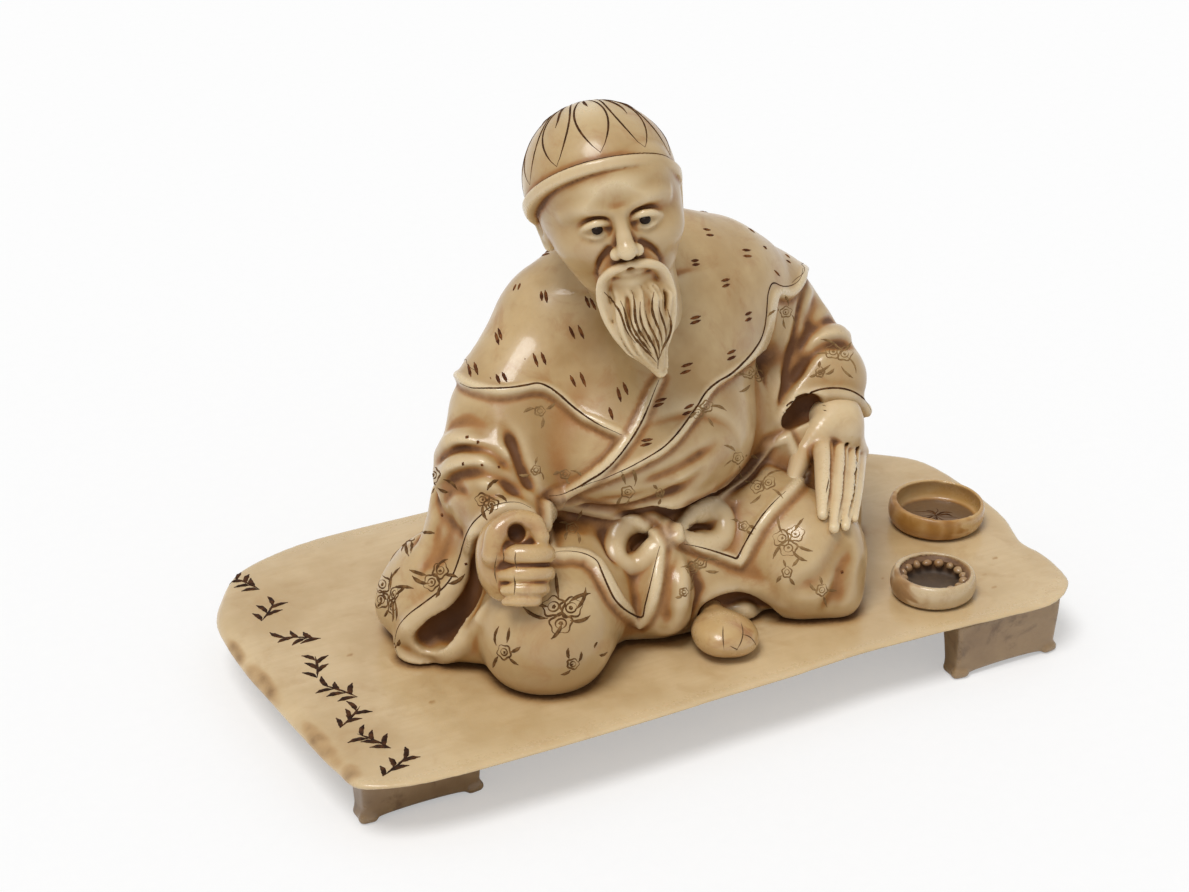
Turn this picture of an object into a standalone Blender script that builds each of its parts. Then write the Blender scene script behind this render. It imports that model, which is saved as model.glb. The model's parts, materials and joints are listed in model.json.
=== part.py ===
"""A bearded man in a cap and a caped robe, carved in ivory, who sits cross-legged on a footed board
beside two small bowls.

Metres, +Z up, +X along the board and -Y towards its front. The origin is on the ground, below the
middle of the board.
"""

import math

import bmesh
import bpy
import numpy as np
from mathutils import Matrix, Vector
from mathutils.bvhtree import BVHTree

MM = 0.001

# Gap that the glued and pegged pieces keep to each other, and what a carved skin may stray by
CLEARANCE = 0.3 * MM
CARVING_SLACK = 0.2 * MM

# Board and its four bracket feet
BOARD_LENGTH = 150 * MM
BOARD_DEPTH = 88 * MM
BOARD_THICKNESS = 3.4 * MM
BOARD_EDGE_ROUND = 0.9 * MM
FOOT_HEIGHT = 8.3 * MM
FOOT_WIDTH = 22.5 * MM
FOOT_TOP_DEPTH = 5.6 * MM
FOOT_TOE_DEPTH = 4.2 * MM
FOOT_ARCH_HEIGHT = 3.0 * MM
TOE_WIDTH = 4.2 * MM
TOE_HEIGHT = 1.4 * MM
TOE_NOTCH = 1.3 * MM

# How far each foot's middle lies in from the board's end and from its side
FEET = {
    "foot_front_left": (-1, -1, 16.1 * MM, 13.0 * MM),
    "foot_front_right": (1, -1, 21.4 * MM, 4.4 * MM),
    "foot_rear_left": (-1, 1, 17.7 * MM, 35.0 * MM),
    "foot_rear_right": (1, 1, 19.0 * MM, 32.0 * MM),
}

# Bowls
LARGE_BOWL_RADIUS = 9.1 * MM
LARGE_BOWL_RIM_RADIUS = 8.6 * MM
LARGE_BOWL_BASE_RADIUS = 7.3 * MM
LARGE_BOWL_HEIGHT = 5.0 * MM
SMALL_BOWL_RADIUS = 7.8 * MM
SMALL_BOWL_RIM_RADIUS = 6.7 * MM
SMALL_BOWL_BASE_RADIUS = 6.6 * MM
SMALL_BOWL_HEIGHT = 4.6 * MM
BOWL_WALL = 1.3 * MM
BOWL_FLOOR = 0.7 * MM
BOWL_TO_KNEE = 2.3 * MM
BOWL_BEFORE_KNEE = 9.6 * MM
BOWL_TO_BOWL = Vector((16.1 * MM, 22.5 * MM))

# Seated body. LEFT and RIGHT are the figure's own, and places are seen from the middle of the seat.
HIP_WIDTH = 68 * MM
HIP_DEPTH = 42 * MM
HIP_HEIGHT = 28 * MM
HIP_MIDDLE = Vector((0, 10, 11.7)) * MM
TORSO_WIDTH = 46.5 * MM
TORSO_DEPTH = 37 * MM
TORSO_HEIGHT = 52.5 * MM
TORSO_MIDDLE = Vector((0, 3, 31.7)) * MM
WAIST_WIDTH = 50 * MM
WAIST_DEPTH = 34 * MM
WAIST_HEIGHT = 36 * MM
WAIST_MIDDLE = Vector((0, 9, 21)) * MM
BACK_WIDTH = 51.5 * MM
BACK_DEPTH = 31.5 * MM
BACK_HEIGHT = 33.5 * MM
BACK_MIDDLE = Vector((5, 9, 45.7)) * MM
BACK_LEAN = math.radians(-12)
BELLY_WIDTH = 42 * MM
BELLY_DEPTH = 30 * MM
BELLY_HEIGHT = 28 * MM
BELLY_MIDDLE = Vector((-3, -6, 30.7)) * MM
COLLAR_RADIUS = 8.6 * MM
COLLAR = [Vector((-11.5, 6, 52.5)) * MM, Vector((-4, 4, 58.7)) * MM, Vector((8, 8, 56.7)) * MM]
LAP_WIDTH = 40 * MM
LAP_DEPTH = 24 * MM
LAP_HEIGHT = 24 * MM
LAP_MIDDLE = Vector((0, -12, 5.7)) * MM
THIGH_RADIUS = 13 * MM
KNEE_RADIUS = 12 * MM
KNEE_FLAT = 3.8 * MM
RIGHT_KNEE_OUT = 29.5 * MM
LEFT_KNEE_OUT = 22.5 * MM
KNEE_REACH = 21 * MM
APRON_THICKNESS = 2.4 * MM
APRON_CORNERS = [Vector((-13, -23, 6.5)) * MM, Vector((6, -22, 10.5)) * MM]
BOW_WIDTH = 19 * MM
BOW_ROPE_RADIUS = 2.1 * MM

# Sleeves and cape
SHOULDER_RADIUS = 9.3 * MM
UPPER_SLEEVE_RADIUS = 9.6 * MM
LOWER_SLEEVE_RADIUS = 9 * MM
CUFF_RADIUS = 8 * MM
SLEEVE_BAG_WIDTH = 21 * MM
SLEEVE_BAG_DEPTH = 24 * MM
SLEEVE_BAG_HEIGHT = 20 * MM
SLEEVE_HEM_RADIUS = 5.8 * MM
SLEEVE_MOUTH_WIDTH = 9 * MM
SLEEVE_MOUTH_HEIGHT = 8 * MM
SLEEVE_MOUTH_DEPTH = 7 * MM
RIGHT_SHOULDER = Vector((-14, 6, 48)) * MM
RIGHT_UPPER_ARM = Vector((-25, 1, 38.2)) * MM
RIGHT_ELBOW = Vector((-29.5, -4, 30.7)) * MM
RIGHT_CUFF = Vector((-31, -13, 26)) * MM
SLEEVE_BAG = Vector((-39, -1, 8.2)) * MM
SLEEVE_HEM = [Vector((-38, -12, 5.2)) * MM, Vector((-44, -6, 5.2)) * MM, Vector((-44.5, 3, 5.7)) * MM]
LEFT_NECK = Vector((13.5, 7, 52.7)) * MM
LEFT_SHOULDER = Vector((24, 10, 47.7)) * MM
LEFT_UPPER_ARM = Vector((33, 12.5, 40.7)) * MM
LEFT_ELBOW = Vector((38, 8.5, 35)) * MM
LEFT_CUFF = Vector((40, 2.5, 30.2)) * MM
LEFT_SLEEVE_TIP = Vector((42.5, -1, 4)) * MM
UNDER_ARM_WIDTH = 26 * MM
UNDER_ARM_DEPTH = 18 * MM
UNDER_ARM_HEIGHT = 36 * MM
UNDER_ARM_MIDDLE = Vector((27, 3.5, 27.5)) * MM
BELOW_CUFF_WIDTH = 18 * MM
BELOW_CUFF_DEPTH = 16 * MM
BELOW_CUFF_HEIGHT = 20 * MM
BELOW_CUFF_MIDDLE = Vector((34, -4, 16.7)) * MM
CAPE_THICKNESS = 1.9 * MM
# The cape's hem at the front and at the back: places in millimetres from the belly's middle, across and up
CAPE_HEM_FRONT = [(-80, 13), (-33.5, 13.8), (-23, 14.6), (-17.6, 13.3), (-14, 9.6), (-9.8, 7.6), (-14.7, 2.8),
                  (-22, 0.7), (-17.8, -2.3), (-10.8, 1.5), (-2, 4.8), (5.3, 8.7), (11.1, 11.5), (22.4, 11.3),
                  (30.6, 13.9), (33, 18.9), (80, 19)]
CAPE_HEM_BACK = [(-80, 13), (-33.5, 13.8), (-21, 6.3), (-5, 2.3), (9, 2.3), (23, 6.3), (33, 14.3), (36, 18),
                 (80, 19)]

# Folds of the cloth: the side they are drawn from, how far they reach to each side of their line, how far
# they stand out (less than zero is a groove), and places on that side in millimetres from the middle of
# the seat: across, and up.
FOLDS = [
    ("front", 3.6, -2.4, [(-20, 25.5), (-12, 24.3), (0, 23.5), (12, 23), (20, 25.5), (25, 31)]),
    ("front", 2.4, -1.0, [(-19, 28), (-10, 28), (0, 30), (4, 31.5)]),
    ("front", 2.2, -0.8, [(-8, 31), (0, 33), (6, 35)]),
    ("front", 2.6, 0.9, [(-38, 36), (-34, 39.5), (-30.5, 38.5)]),
    ("front", 2.2, -1.2, [(-39, 34.5), (-35, 37.5), (-31, 37), (-27.5, 34)]),
    ("front", 2.2, -1.2, [(-39.5, 31), (-35.5, 33.5), (-31, 32.5), (-27, 29.5)]),
    ("front", 2.4, -1.4, [(-31, 41), (-29.5, 36), (-27.5, 32)]),
    ("front", 4.4, -2.8, [(-38.5, 23), (-40, 17), (-43, 11), (-47, 7)]),
    ("front", 2.6, 1.0, [(-8, 17), (-8, 11), (-7, 6)]),
    ("front", 2.2, -1.0, [(-12.5, 16), (-13, 10), (-12, 4)]),
    ("front", 2.2, -1.2, [(-3, 17), (-2.5, 11), (-2, 6)]),
    ("front", 4.4, -3.0, [(0, 2), (2.5, 6.5), (7, 8), (12, 6.5), (15.5, 3)]),
    ("front", 2.4, -0.9, [(29, 14), (25, 9), (21, 5)]),
    ("front", 2.4, -0.7, [(26, 16), (20, 12), (15, 8.5)]),
    ("front", 3.4, -1.6, [(30, 48), (27, 41), (23, 34), (21, 29)]),
    ("front", 2.2, -1.2, [(32, 39), (36, 45), (41, 48.5)]),
    ("front", 2.6, 0.8, [(31, 37), (36, 42.5), (43, 45)]),
    ("front", 2.2, -1.2, [(30, 34.5), (35, 39.5), (44, 41.5)]),
    ("left", 2.4, -1.3, [(-5, 31), (1, 33), (8, 37), (14, 42)]),
    ("left", 2.8, 1.0, [(-4, 28), (4, 30.5), (11, 34), (16, 38)]),
    ("left", 2.8, -1.3, [(14, 24), (9, 16), (6, 8)]),
    ("left", 3.2, -1.1, [(4, 22), (1, 14), (-1, 6)]),
    ("left", 3.2, -1.1, [(20, 18), (19, 10), (19, 3)]),
    ("right", 2.6, -1.1, [(12, 38), (6, 31), (-2, 26), (-9, 24)]),
    ("right", 2.6, -1.1, [(14, 28), (9, 22), (1, 18)]),
    ("right", 3.0, -1.2, [(12, 20), (8, 12), (4, 5)]),
    ("right", 2.6, -1.0, [(18, 22), (16, 14), (15, 5)]),
    ("back", 3.6, -1.4, [(-14, 28), (-16, 21), (-19, 13), (-21, 5)]),
    ("back", 3.8, -1.5, [(-4, 26), (-4, 19), (-6, 11), (-7, 4)]),
    ("back", 3.6, -1.4, [(7, 25), (8, 18), (7, 10), (9, 3)]),
    ("back", 3.6, -1.5, [(17, 27), (20, 20), (22, 12), (25, 4)]),
    ("back", 2.4, -1.6, [(-24, 35), (-27, 28), (-29, 20), (-30, 12), (-31, 4)]),
    ("back", 2.4, -1.5, [(31, 36), (33, 29), (34, 21), (34, 13), (33, 4)]),
    ("back", 2.6, -1.1, [(-30, 38), (-34, 33), (-37, 26)]),
    ("back", 2.6, -1.1, [(-32, 30), (-37, 24), (-41, 17)]),
    ("back", 2.6, -1.1, [(35, 38), (39, 34), (42, 29)]),
]
# The axis along which each side is looked at, and the end of it that one looks from
SIDES = {"front": (1, -1), "back": (1, 1), "left": (0, 1), "right": (0, -1)}
FOLD_STEPS = 5
# A fold's line is broken where it would cross more open air than this, from one part of the robe to another
FOLD_BREAK = 4 * MM
# Keeps a division by a length of nothing harmless
TINY = 1e-12

# Head
HEAD_WIDTH = 25.5 * MM
HEAD_DEPTH = 28 * MM
HEAD_HEIGHT = 29 * MM
HEAD_MIDDLE = Vector((-9.2, -7.9, 79.2)) * MM
HEAD_LEAN = math.radians(-10)
HEAD_TURN_ASIDE = math.radians(-21)
FACE_WIDTH = 21 * MM
FACE_HEIGHT = 24 * MM
NECK_RADIUS = 7.2 * MM
NECK_FOOT = Vector((-1, 0, 56)) * MM
CHIN_DROP = 12.5 * MM
CHIN_REACH = 11 * MM
BEARD_LENGTH = 13 * MM
BEARD_RADIUS = 4.8 * MM
CAP_BAND_RADIUS = 1.3 * MM
CAP_BAND_LIFT = -1.0 * MM
SKULL_LIFT = 1.5 * MM
CAP_BAND_TILT = math.radians(40)
NOSE_LENGTH = 5.2 * MM
EYE_SPACING = 8 * MM
EYE_LEVEL = -0.2 * MM
PUPIL_RADIUS = 0.8 * MM
PUPIL_DEPTH = 1.2 * MM
EAR_HEIGHT = 8.8 * MM

# Hands and foot
FIST_WIDTH = 11.6 * MM
FIST_DEPTH = 12.6 * MM
FIST_HEIGHT = 14.2 * MM
GRIP_HOLE_RADIUS = 1.2 * MM
GRIP_HOLE_DEPTH = 7 * MM
FINGER_RADIUS = 1.9 * MM
FINGER_SPACING = 3.0 * MM
# The left hand's knuckles and fingertips, from the forefinger to the little finger, and the thumb's joints,
# in millimetres from the middle of the palm
KNUCKLES = [(-4.3, -1.6, -1.6), (-0.9, -1.9, -3), (2.6, -0.9, -5), (5.4, 0.8, -7.2)]
FINGERTIPS = [(-15.9, -20.5, -5.2), (-15.1, -23, -7), (-12.3, -22.4, -7.6), (-8.9, -20, -8)]
THUMB = [(-3.6, -1.2, 1), (-8.8, -2.4, -3.6), (-14.6, -8.4, -4.6)]
PALM_RADIUS = 5.4 * MM
WRIST_RADIUS = 4.4 * MM
BARE_FOOT_WIDTH = 11.4 * MM
BARE_FOOT_LENGTH = 15 * MM
BARE_FOOT_HEIGHT = 8.4 * MM
BARE_FOOT_STUB = 9 * MM
BARE_FOOT_MIDDLE = Vector((1.5, -29.5, 4)) * MM

# Pegs, and how much of the board and of a foot is left beyond their ends
FIGURE_PEG_RADIUS = 2.0 * MM
FIGURE_PEG_REACH = 9 * MM
FIGURE_PEG_SPACING = 28 * MM
FIGURE_PEG_BACK = 6 * MM
NECK_PEG_RADIUS = 2.2 * MM
NECK_PEG_LENGTH = 13 * MM
HAND_PEG_RADIUS = 1.2 * MM
HAND_PEG_LENGTH = 7 * MM
FOOT_PEG_RADIUS = 1.1 * MM
BOARD_SKIN = 1.4 * MM
FOOT_SKIN = 2.2 * MM

# Grain of the carved skins, and the share of their faces that is kept
BODY_GRAIN = 1.25 * MM
FOLD_GRAIN = 0.85 * MM
DETAIL_GRAIN = 0.62 * MM
DETAIL_SMOOTHING = 3
BODY_FACES_KEPT = 0.085
FOLD_FACES_KEPT = 0.072
DETAIL_FACES_KEPT = 0.078
ROOM_FACES_KEPT = 0.06

# Places that follow from the sizes
BOARD_TOP = FOOT_HEIGHT + CLEARANCE + BOARD_THICKNESS
SEAT = BOARD_TOP + CLEARANCE
PEG_BOARD_DEPTH = BOARD_THICKNESS - BOARD_SKIN
KNEE_HEIGHT = KNEE_RADIUS - KNEE_FLAT
RIGHT_KNEE = Vector((-RIGHT_KNEE_OUT, -KNEE_REACH, KNEE_HEIGHT))
LEFT_KNEE = Vector((LEFT_KNEE_OUT, -KNEE_REACH, KNEE_HEIGHT))
SMALL_BOWL_PLACE = Vector((LEFT_KNEE_OUT + KNEE_RADIUS + BOWL_TO_KNEE + SMALL_BOWL_RADIUS,
                           -KNEE_REACH - BOWL_BEFORE_KNEE))
LARGE_BOWL_PLACE = SMALL_BOWL_PLACE + BOWL_TO_BOWL
HEAD_TURN = (Matrix.Translation(HEAD_MIDDLE) @ Matrix.Rotation(HEAD_TURN_ASIDE, 4, "Z")
             @ Matrix.Rotation(HEAD_LEAN, 4, "Y"))
FIST = RIGHT_CUFF + Vector((-5 * MM, -FIST_DEPTH / 2 - 3.2 * MM, -2 * MM))
FIST_WRIST = RIGHT_CUFF + Vector((0, 3, 1.5)) * MM
LEFT_PALM = LEFT_CUFF + Vector((-1.2, -8.7, -5.6)) * MM
LEFT_WRIST = LEFT_CUFF + Vector((1.4, -2, -3.2)) * MM
BARE_FOOT_HEEL = BARE_FOOT_MIDDLE + Vector((0, BARE_FOOT_STUB, 1.5 * MM))


def clear_scene():
    """Removes every object of the scene, and makes the two collections."""
    for old in list(bpy.data.objects):
        bpy.data.objects.remove(old, do_unlink=True)
    made = []
    for name in ("seated_scholar_carving", "cutters"):
        collection = bpy.data.collections.new(name)
        bpy.context.scene.collection.children.link(collection)
        made.append(collection)
    return made


PARTS, CUTTERS = clear_scene()


def material(name, colour, roughness):
    """A plain Principled material."""
    made = bpy.data.materials.new(name)
    made.use_nodes = True
    shader = made.node_tree.nodes["Principled BSDF"]
    shader.inputs["Base Color"].default_value = (*colour, 1)
    shader.inputs["Roughness"].default_value = roughness
    shader.inputs["Metallic"].default_value = 0
    made.diffuse_color = (*colour, 1)
    return made


def node(name, mesh, look, place=(0, 0, 0), parent=None):
    """A named part of the carving."""
    part = bpy.data.objects.new(name, mesh)
    mesh.materials.clear()
    mesh.materials.append(look)
    part.location = place
    part.parent = parent
    PARTS.objects.link(part)
    return part


def cutter(name, mesh, place=(0, 0, 0), parent=None):
    """A helper that takes room out of a part, and isn't a part itself."""
    tool = bpy.data.objects.new(name, mesh)
    tool.location = place
    tool.parent = parent
    tool.hide_render = True
    tool.display_type = "WIRE"
    CUTTERS.objects.link(tool)
    return tool


def combine(part, tool, operation="DIFFERENCE"):
    """Cuts the tool out of the part, or joins it on."""
    step = part.modifiers.new(f"{operation.lower()} {tool.name}", "BOOLEAN")
    step.object = tool
    step.operation = operation
    step.solver = "EXACT"


def mesh_from(bm, name):
    mesh = bpy.data.meshes.new(name)
    bm.to_mesh(mesh)
    bm.free()
    return mesh


def along(start, end):
    """The matrix that lays a shape's Z axis from start to end, with its middle halfway."""
    start = Vector(start)
    end = Vector(end)
    turn = (end - start).to_track_quat("Z", "Y").to_matrix().to_4x4()
    return Matrix.Translation((start + end) / 2) @ turn


def rod(name, start, end, radius, segments=16):
    """The mesh of a round bar from start to end."""
    bm = bmesh.new()
    length = (Vector(end) - Vector(start)).length
    bmesh.ops.create_cone(bm, cap_ends=True, segments=segments, radius1=radius, radius2=radius,
                          depth=length, matrix=along(start, end))
    return mesh_from(bm, name)


class Masses:
    """Overlapping rounded masses, to be fused into one carved skin. They can all be grown alike."""

    def __init__(self, grow=0.0):
        self.bm = bmesh.new()
        self.grow = grow
        self.place = Matrix()

    def egg(self, middle, half, lean=0.0):
        """An ellipsoid that leans about the front-to-back axis."""
        size = Matrix.Diagonal([reach + self.grow for reach in half]).to_4x4()
        turn = Matrix.Rotation(lean, 4, "Y")
        bmesh.ops.create_uvsphere(self.bm, u_segments=28, v_segments=16, radius=1,
                                  matrix=self.place @ Matrix.Translation(middle) @ turn @ size)

    def limb(self, points, radii):
        """A limb that runs through the points, as thick at each as its radius."""
        points = [Vector(point) for point in points]
        radii = [radius + self.grow for radius in radii]
        for point, radius in zip(points, radii):
            bmesh.ops.create_uvsphere(self.bm, u_segments=20, v_segments=12, radius=radius,
                                      matrix=self.place @ Matrix.Translation(point))
        for (start, end), (thick, thin) in zip(zip(points, points[1:]), zip(radii, radii[1:])):
            bmesh.ops.create_cone(self.bm, cap_ends=True, segments=20, radius1=thick, radius2=thin,
                                  depth=(end - start).length, matrix=self.place @ along(start, end))

    def mesh(self, name):
        return mesh_from(self.bm, name)


def fuse(part, grain, kept, smoothing=6):
    """Fuses the masses of a part into one skin, softens its creases and thins out its faces."""
    skin = part.modifiers.new("one skin", "REMESH")
    skin.mode = "VOXEL"
    skin.voxel_size = grain
    skin.use_smooth_shade = True
    soften = part.modifiers.new("soft creases", "SMOOTH")
    soften.factor = 0.5
    soften.iterations = smoothing
    thin = part.modifiers.new("fewer faces", "DECIMATE")
    thin.ratio = kept


def plain_mesh(part):
    """The mesh that a part's modifiers make of it."""
    bpy.context.view_layer.update()
    return bpy.data.meshes.new_from_object(part.evaluated_get(bpy.context.evaluated_depsgraph_get()))


def line_on_skin(skin, side, points):
    """A fold's line, laid on the skin from one side of the figure."""
    axis, end = SIDES[side]
    way = Vector((0, 0, 0))
    way[axis] = -end
    line = []
    for across, up in rounded(points, FOLD_STEPS, closed=False):
        start = Vector((across, across, up)) * MM
        start[axis] = end * BOARD_LENGTH
        place = skin.ray_cast(start, way)[0]
        if place is not None:
            line.append(place)
    return np.array(line)


def carve_folds(mesh):
    """Moves the skin near each fold's line out or in, most at the line and less and less beside it."""
    skin = BVHTree.FromPolygons([vertex.co for vertex in mesh.vertices],
                                [face.vertices for face in mesh.polygons])
    places = np.array([vertex.co for vertex in mesh.vertices])
    outward = np.array([vertex.normal for vertex in mesh.vertices])
    height = np.zeros(len(places))
    for side, reach, rise, points in FOLDS:
        line = line_on_skin(skin, side, points)
        away = np.full(len(places), BOARD_LENGTH)
        for start, end in zip(line, line[1:]):
            run = end - start
            if run @ run > FOLD_BREAK ** 2:
                continue
            along_run = np.clip((places - start) @ run / (run @ run + TINY), 0, 1)
            away = np.minimum(away, np.linalg.norm(places - start - along_run[:, None] * run, axis=1))
        height += rise * MM * np.clip(1 - (away / (reach * MM)) ** 2, 0, 1) ** 2
    mesh.vertices.foreach_set("co", (places + outward * height[:, None]).ravel())
    mesh.update()


def outline_mesh(name, corners, thickness, edge_round=0.0):
    """A flat outline, a list of (x, y), made as thick as asked, half above and half below."""
    curve = bpy.data.curves.new(name, "CURVE")
    curve.dimensions = "2D"
    curve.fill_mode = "BOTH"
    curve.extrude = thickness / 2 - edge_round
    curve.bevel_depth = edge_round
    curve.bevel_resolution = 1
    curve.offset = -edge_round
    line = curve.splines.new("POLY")
    line.points.add(len(corners) - 1)
    for point, (x, y) in zip(line.points, corners):
        point.co = (x, y, 0, 1)
    line.use_cyclic_u = True
    guide = bpy.data.objects.new(name, curve)
    CUTTERS.objects.link(guide)
    mesh = plain_mesh(guide)
    bpy.data.objects.remove(guide, do_unlink=True)
    bm = bmesh.new()
    bm.from_mesh(mesh)
    bmesh.ops.remove_doubles(bm, verts=bm.verts, dist=0.00001)
    bmesh.ops.recalc_face_normals(bm, faces=bm.faces)
    bm.to_mesh(mesh)
    bm.free()
    return mesh


def rounded(corners, steps=4, closed=True):
    """A smooth line through the corners."""
    line = []
    count = len(corners)
    for index in range(count if closed else count - 1):
        around = [index + shift for shift in (-1, 0, 1, 2)]
        if not closed:
            around = [min(max(place, 0), count - 1) for place in around]
        before, start, end, after = (Vector(corners[place % count]) for place in around)
        for step in range(steps):
            t = step / steps
            line.append(0.5 * (2 * start + (end - before) * t
                               + (2 * before - 5 * start + 4 * end - after) * t ** 2
                               + (3 * start - before - 3 * end + after) * t ** 3))
    if not closed:
        line.append(Vector(corners[-1]))
    return line


def board_outline():
    """The uneven outline of the board, seen from above. Each point lies some way in from the board's
    ends and sides, and the line is then brought to the board's full length and depth."""
    left, right = -BOARD_LENGTH / 2, BOARD_LENGTH / 2
    front, back = -BOARD_DEPTH / 2, BOARD_DEPTH / 2
    corners = [
        (left + 1.6 * MM, front + 9.5 * MM),
        (left + 3.2 * MM, front + 4.8 * MM),
        (left + 9.5 * MM, front + 1.6 * MM),
        (left + 25 * MM, front + 0.7 * MM),
        (0, front + 1.2 * MM),
        (right - 50 * MM, front + 2.0 * MM),
        (right - 17 * MM, front),
        (right - 9.5 * MM, front + 2.0 * MM),
        (right - 4.6 * MM, front + 7.5 * MM),
        (right - 3.4 * MM, front + 16 * MM),
        (right - 4.0 * MM, front + 22 * MM),
        (right - 1.0 * MM, front + 32 * MM),
        (right, back - 42 * MM),
        (right - 0.6 * MM, back - 29 * MM),
        (right - 8.4 * MM, back - 20.4 * MM),
        (right - 25 * MM, back - 8 * MM),
        (right - 48 * MM, back - 2.0 * MM),
        (0, back - 0.6 * MM),
        (left + 37 * MM, back),
        (left + 17 * MM, back - 3.3 * MM),
        (left + 7.5 * MM, back - 9.8 * MM),
        (left + 1.5 * MM, back - 21 * MM),
        (left, back - 37 * MM),
    ]
    line = rounded(corners)
    low = Vector(min(point[axis] for point in line) for axis in (0, 1))
    high = Vector(max(point[axis] for point in line) for axis in (0, 1))
    full = (BOARD_LENGTH, BOARD_DEPTH)
    return [tuple((point[axis] - (low[axis] + high[axis]) / 2) * full[axis] / (high[axis] - low[axis])
                  for axis in (0, 1)) for point in line]


def make_board(look):
    board = node("base_board", outline_mesh("base_board", board_outline(), BOARD_THICKNESS, BOARD_EDGE_ROUND),
                 look, (0, 0, BOARD_TOP - BOARD_THICKNESS / 2))
    return board


def peg(name, start, end, radius, pieces, look, frame=None):
    """A dowel from start to end, and its hole in each of the pieces."""
    start = Vector(start)
    end = Vector(end)
    pin = node(name, rod(name, start, end, radius), look, parent=frame)
    room = (end - start).normalized() * CLEARANCE
    hole = cutter(f"hole_{name}", rod(f"hole_{name}", start - room, end + room, radius + CLEARANCE),
                  parent=frame)
    for piece in pieces:
        combine(piece, hole)
    return pin


def foot_outline():
    """A bracket foot seen from the front: flared toes, a notch above each and an arch between them."""
    half = FOOT_WIDTH / 2
    arch = half - TOE_WIDTH
    corner = 0.4 * MM
    right = [(half - corner, 0), (half, TOE_HEIGHT / 2), (half - corner, TOE_HEIGHT),
             (half - TOE_NOTCH, TOE_HEIGHT * 1.7), (half - TOE_NOTCH * 0.7, FOOT_HEIGHT * 0.6),
             (half, FOOT_HEIGHT)]
    steps = 10
    under = []
    for step in range(steps + 1):
        angle = math.pi * step / steps
        under.append((-arch * math.cos(angle), FOOT_ARCH_HEIGHT * math.sin(angle)))
    return [(-x, z) for x, z in reversed(right)] + under + right


def make_feet(board, look, peg_look):
    """The four feet, thinner at the toes, and the pegs that hold them to the board."""
    mesh = outline_mesh("foot", foot_outline(), 1)
    for vertex in mesh.vertices:
        x, z, side = vertex.co
        depth = FOOT_TOE_DEPTH + (FOOT_TOP_DEPTH - FOOT_TOE_DEPTH) * z / FOOT_HEIGHT
        vertex.co = (x, -side * depth, z)
    top = FOOT_HEIGHT + CLEARANCE + PEG_BOARD_DEPTH
    bottom = FOOT_ARCH_HEIGHT + FOOT_SKIN
    for name, (end, side, in_from_end, in_from_side) in FEET.items():
        x = end * (BOARD_LENGTH / 2 - in_from_end)
        y = side * (BOARD_DEPTH / 2 - in_from_side)
        foot = node(name, mesh.copy(), look, (x, y, 0))
        foot.data.shade_smooth()
        foot.data.set_sharp_from_angle(angle=math.radians(40))
        peg(name.replace("foot", "foot_peg"), (x, y, bottom), (x, y, top), FOOT_PEG_RADIUS,
            [foot, board], peg_look)


def bowl_profile(radius, height, base, rim):
    """Half a bowl's section: up the inside and down the outside, which swells in the middle."""
    swell = height * 0.5
    steps = 6
    outside = []
    for step in range(steps + 1):
        z = height * (1 - step / steps)
        if z > swell:
            r = radius - (radius - rim) * ((z - swell) / (height - swell)) ** 2
        else:
            r = radius - (radius - base) * ((swell - z) / swell) ** 2
        outside.append((r, z))
    inside = [(r - BOWL_WALL, max(z, BOWL_FLOOR)) for r, z in outside]
    return [(0, BOWL_FLOOR)] + inside[::-1] + outside + [(0, 0)]


def make_bowl(name, look, place, radius, height, base, rim):
    bm = bmesh.new()
    points = bowl_profile(radius, height, base, rim)
    line = [bm.verts.new((r, 0, z)) for r, z in points]
    for start, end in zip(line, line[1:]):
        bm.edges.new((start, end))
    bowl = node(name, mesh_from(bm, name), look, (place.x, place.y, SEAT))
    turn = bowl.modifiers.new("turned", "SCREW")
    turn.steps = 30
    turn.render_steps = 30
    turn.use_merge_vertices = True
    turn.merge_threshold = 0.00001
    return bowl


def half(width, depth, height):
    return Vector((width, depth, height)) / 2


def upper_masses(clay):
    """The robe's torso, waist, back, belly, collar and upper sleeves. The cape lies on them."""
    clay.egg(TORSO_MIDDLE, half(TORSO_WIDTH, TORSO_DEPTH, TORSO_HEIGHT))
    clay.egg(WAIST_MIDDLE, half(WAIST_WIDTH, WAIST_DEPTH, WAIST_HEIGHT))
    clay.egg(BACK_MIDDLE, half(BACK_WIDTH, BACK_DEPTH, BACK_HEIGHT), BACK_LEAN)
    clay.egg(BELLY_MIDDLE, half(BELLY_WIDTH, BELLY_DEPTH, BELLY_HEIGHT))
    clay.limb(COLLAR, [COLLAR_RADIUS] * len(COLLAR))
    clay.limb([RIGHT_SHOULDER, RIGHT_UPPER_ARM, RIGHT_ELBOW],
              [COLLAR_RADIUS, UPPER_SLEEVE_RADIUS, UPPER_SLEEVE_RADIUS])
    clay.limb([LEFT_NECK, LEFT_SHOULDER, LEFT_UPPER_ARM, LEFT_ELBOW],
              [SHOULDER_RADIUS, UPPER_SLEEVE_RADIUS, SHOULDER_RADIUS, LOWER_SLEEVE_RADIUS])


def lower_masses(clay):
    """The hips, crossed legs and lap."""
    clay.egg(HIP_MIDDLE, half(HIP_WIDTH, HIP_DEPTH, HIP_HEIGHT))
    clay.egg(LAP_MIDDLE, half(LAP_WIDTH, LAP_DEPTH, LAP_HEIGHT))
    for knee in (RIGHT_KNEE, LEFT_KNEE):
        start = Vector((knee.x * 0.25, 0, KNEE_HEIGHT + 2 * MM))
        clay.limb([start, start.lerp(knee, 0.6), knee], [THIGH_RADIUS, KNEE_RADIUS, KNEE_RADIUS])


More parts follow.
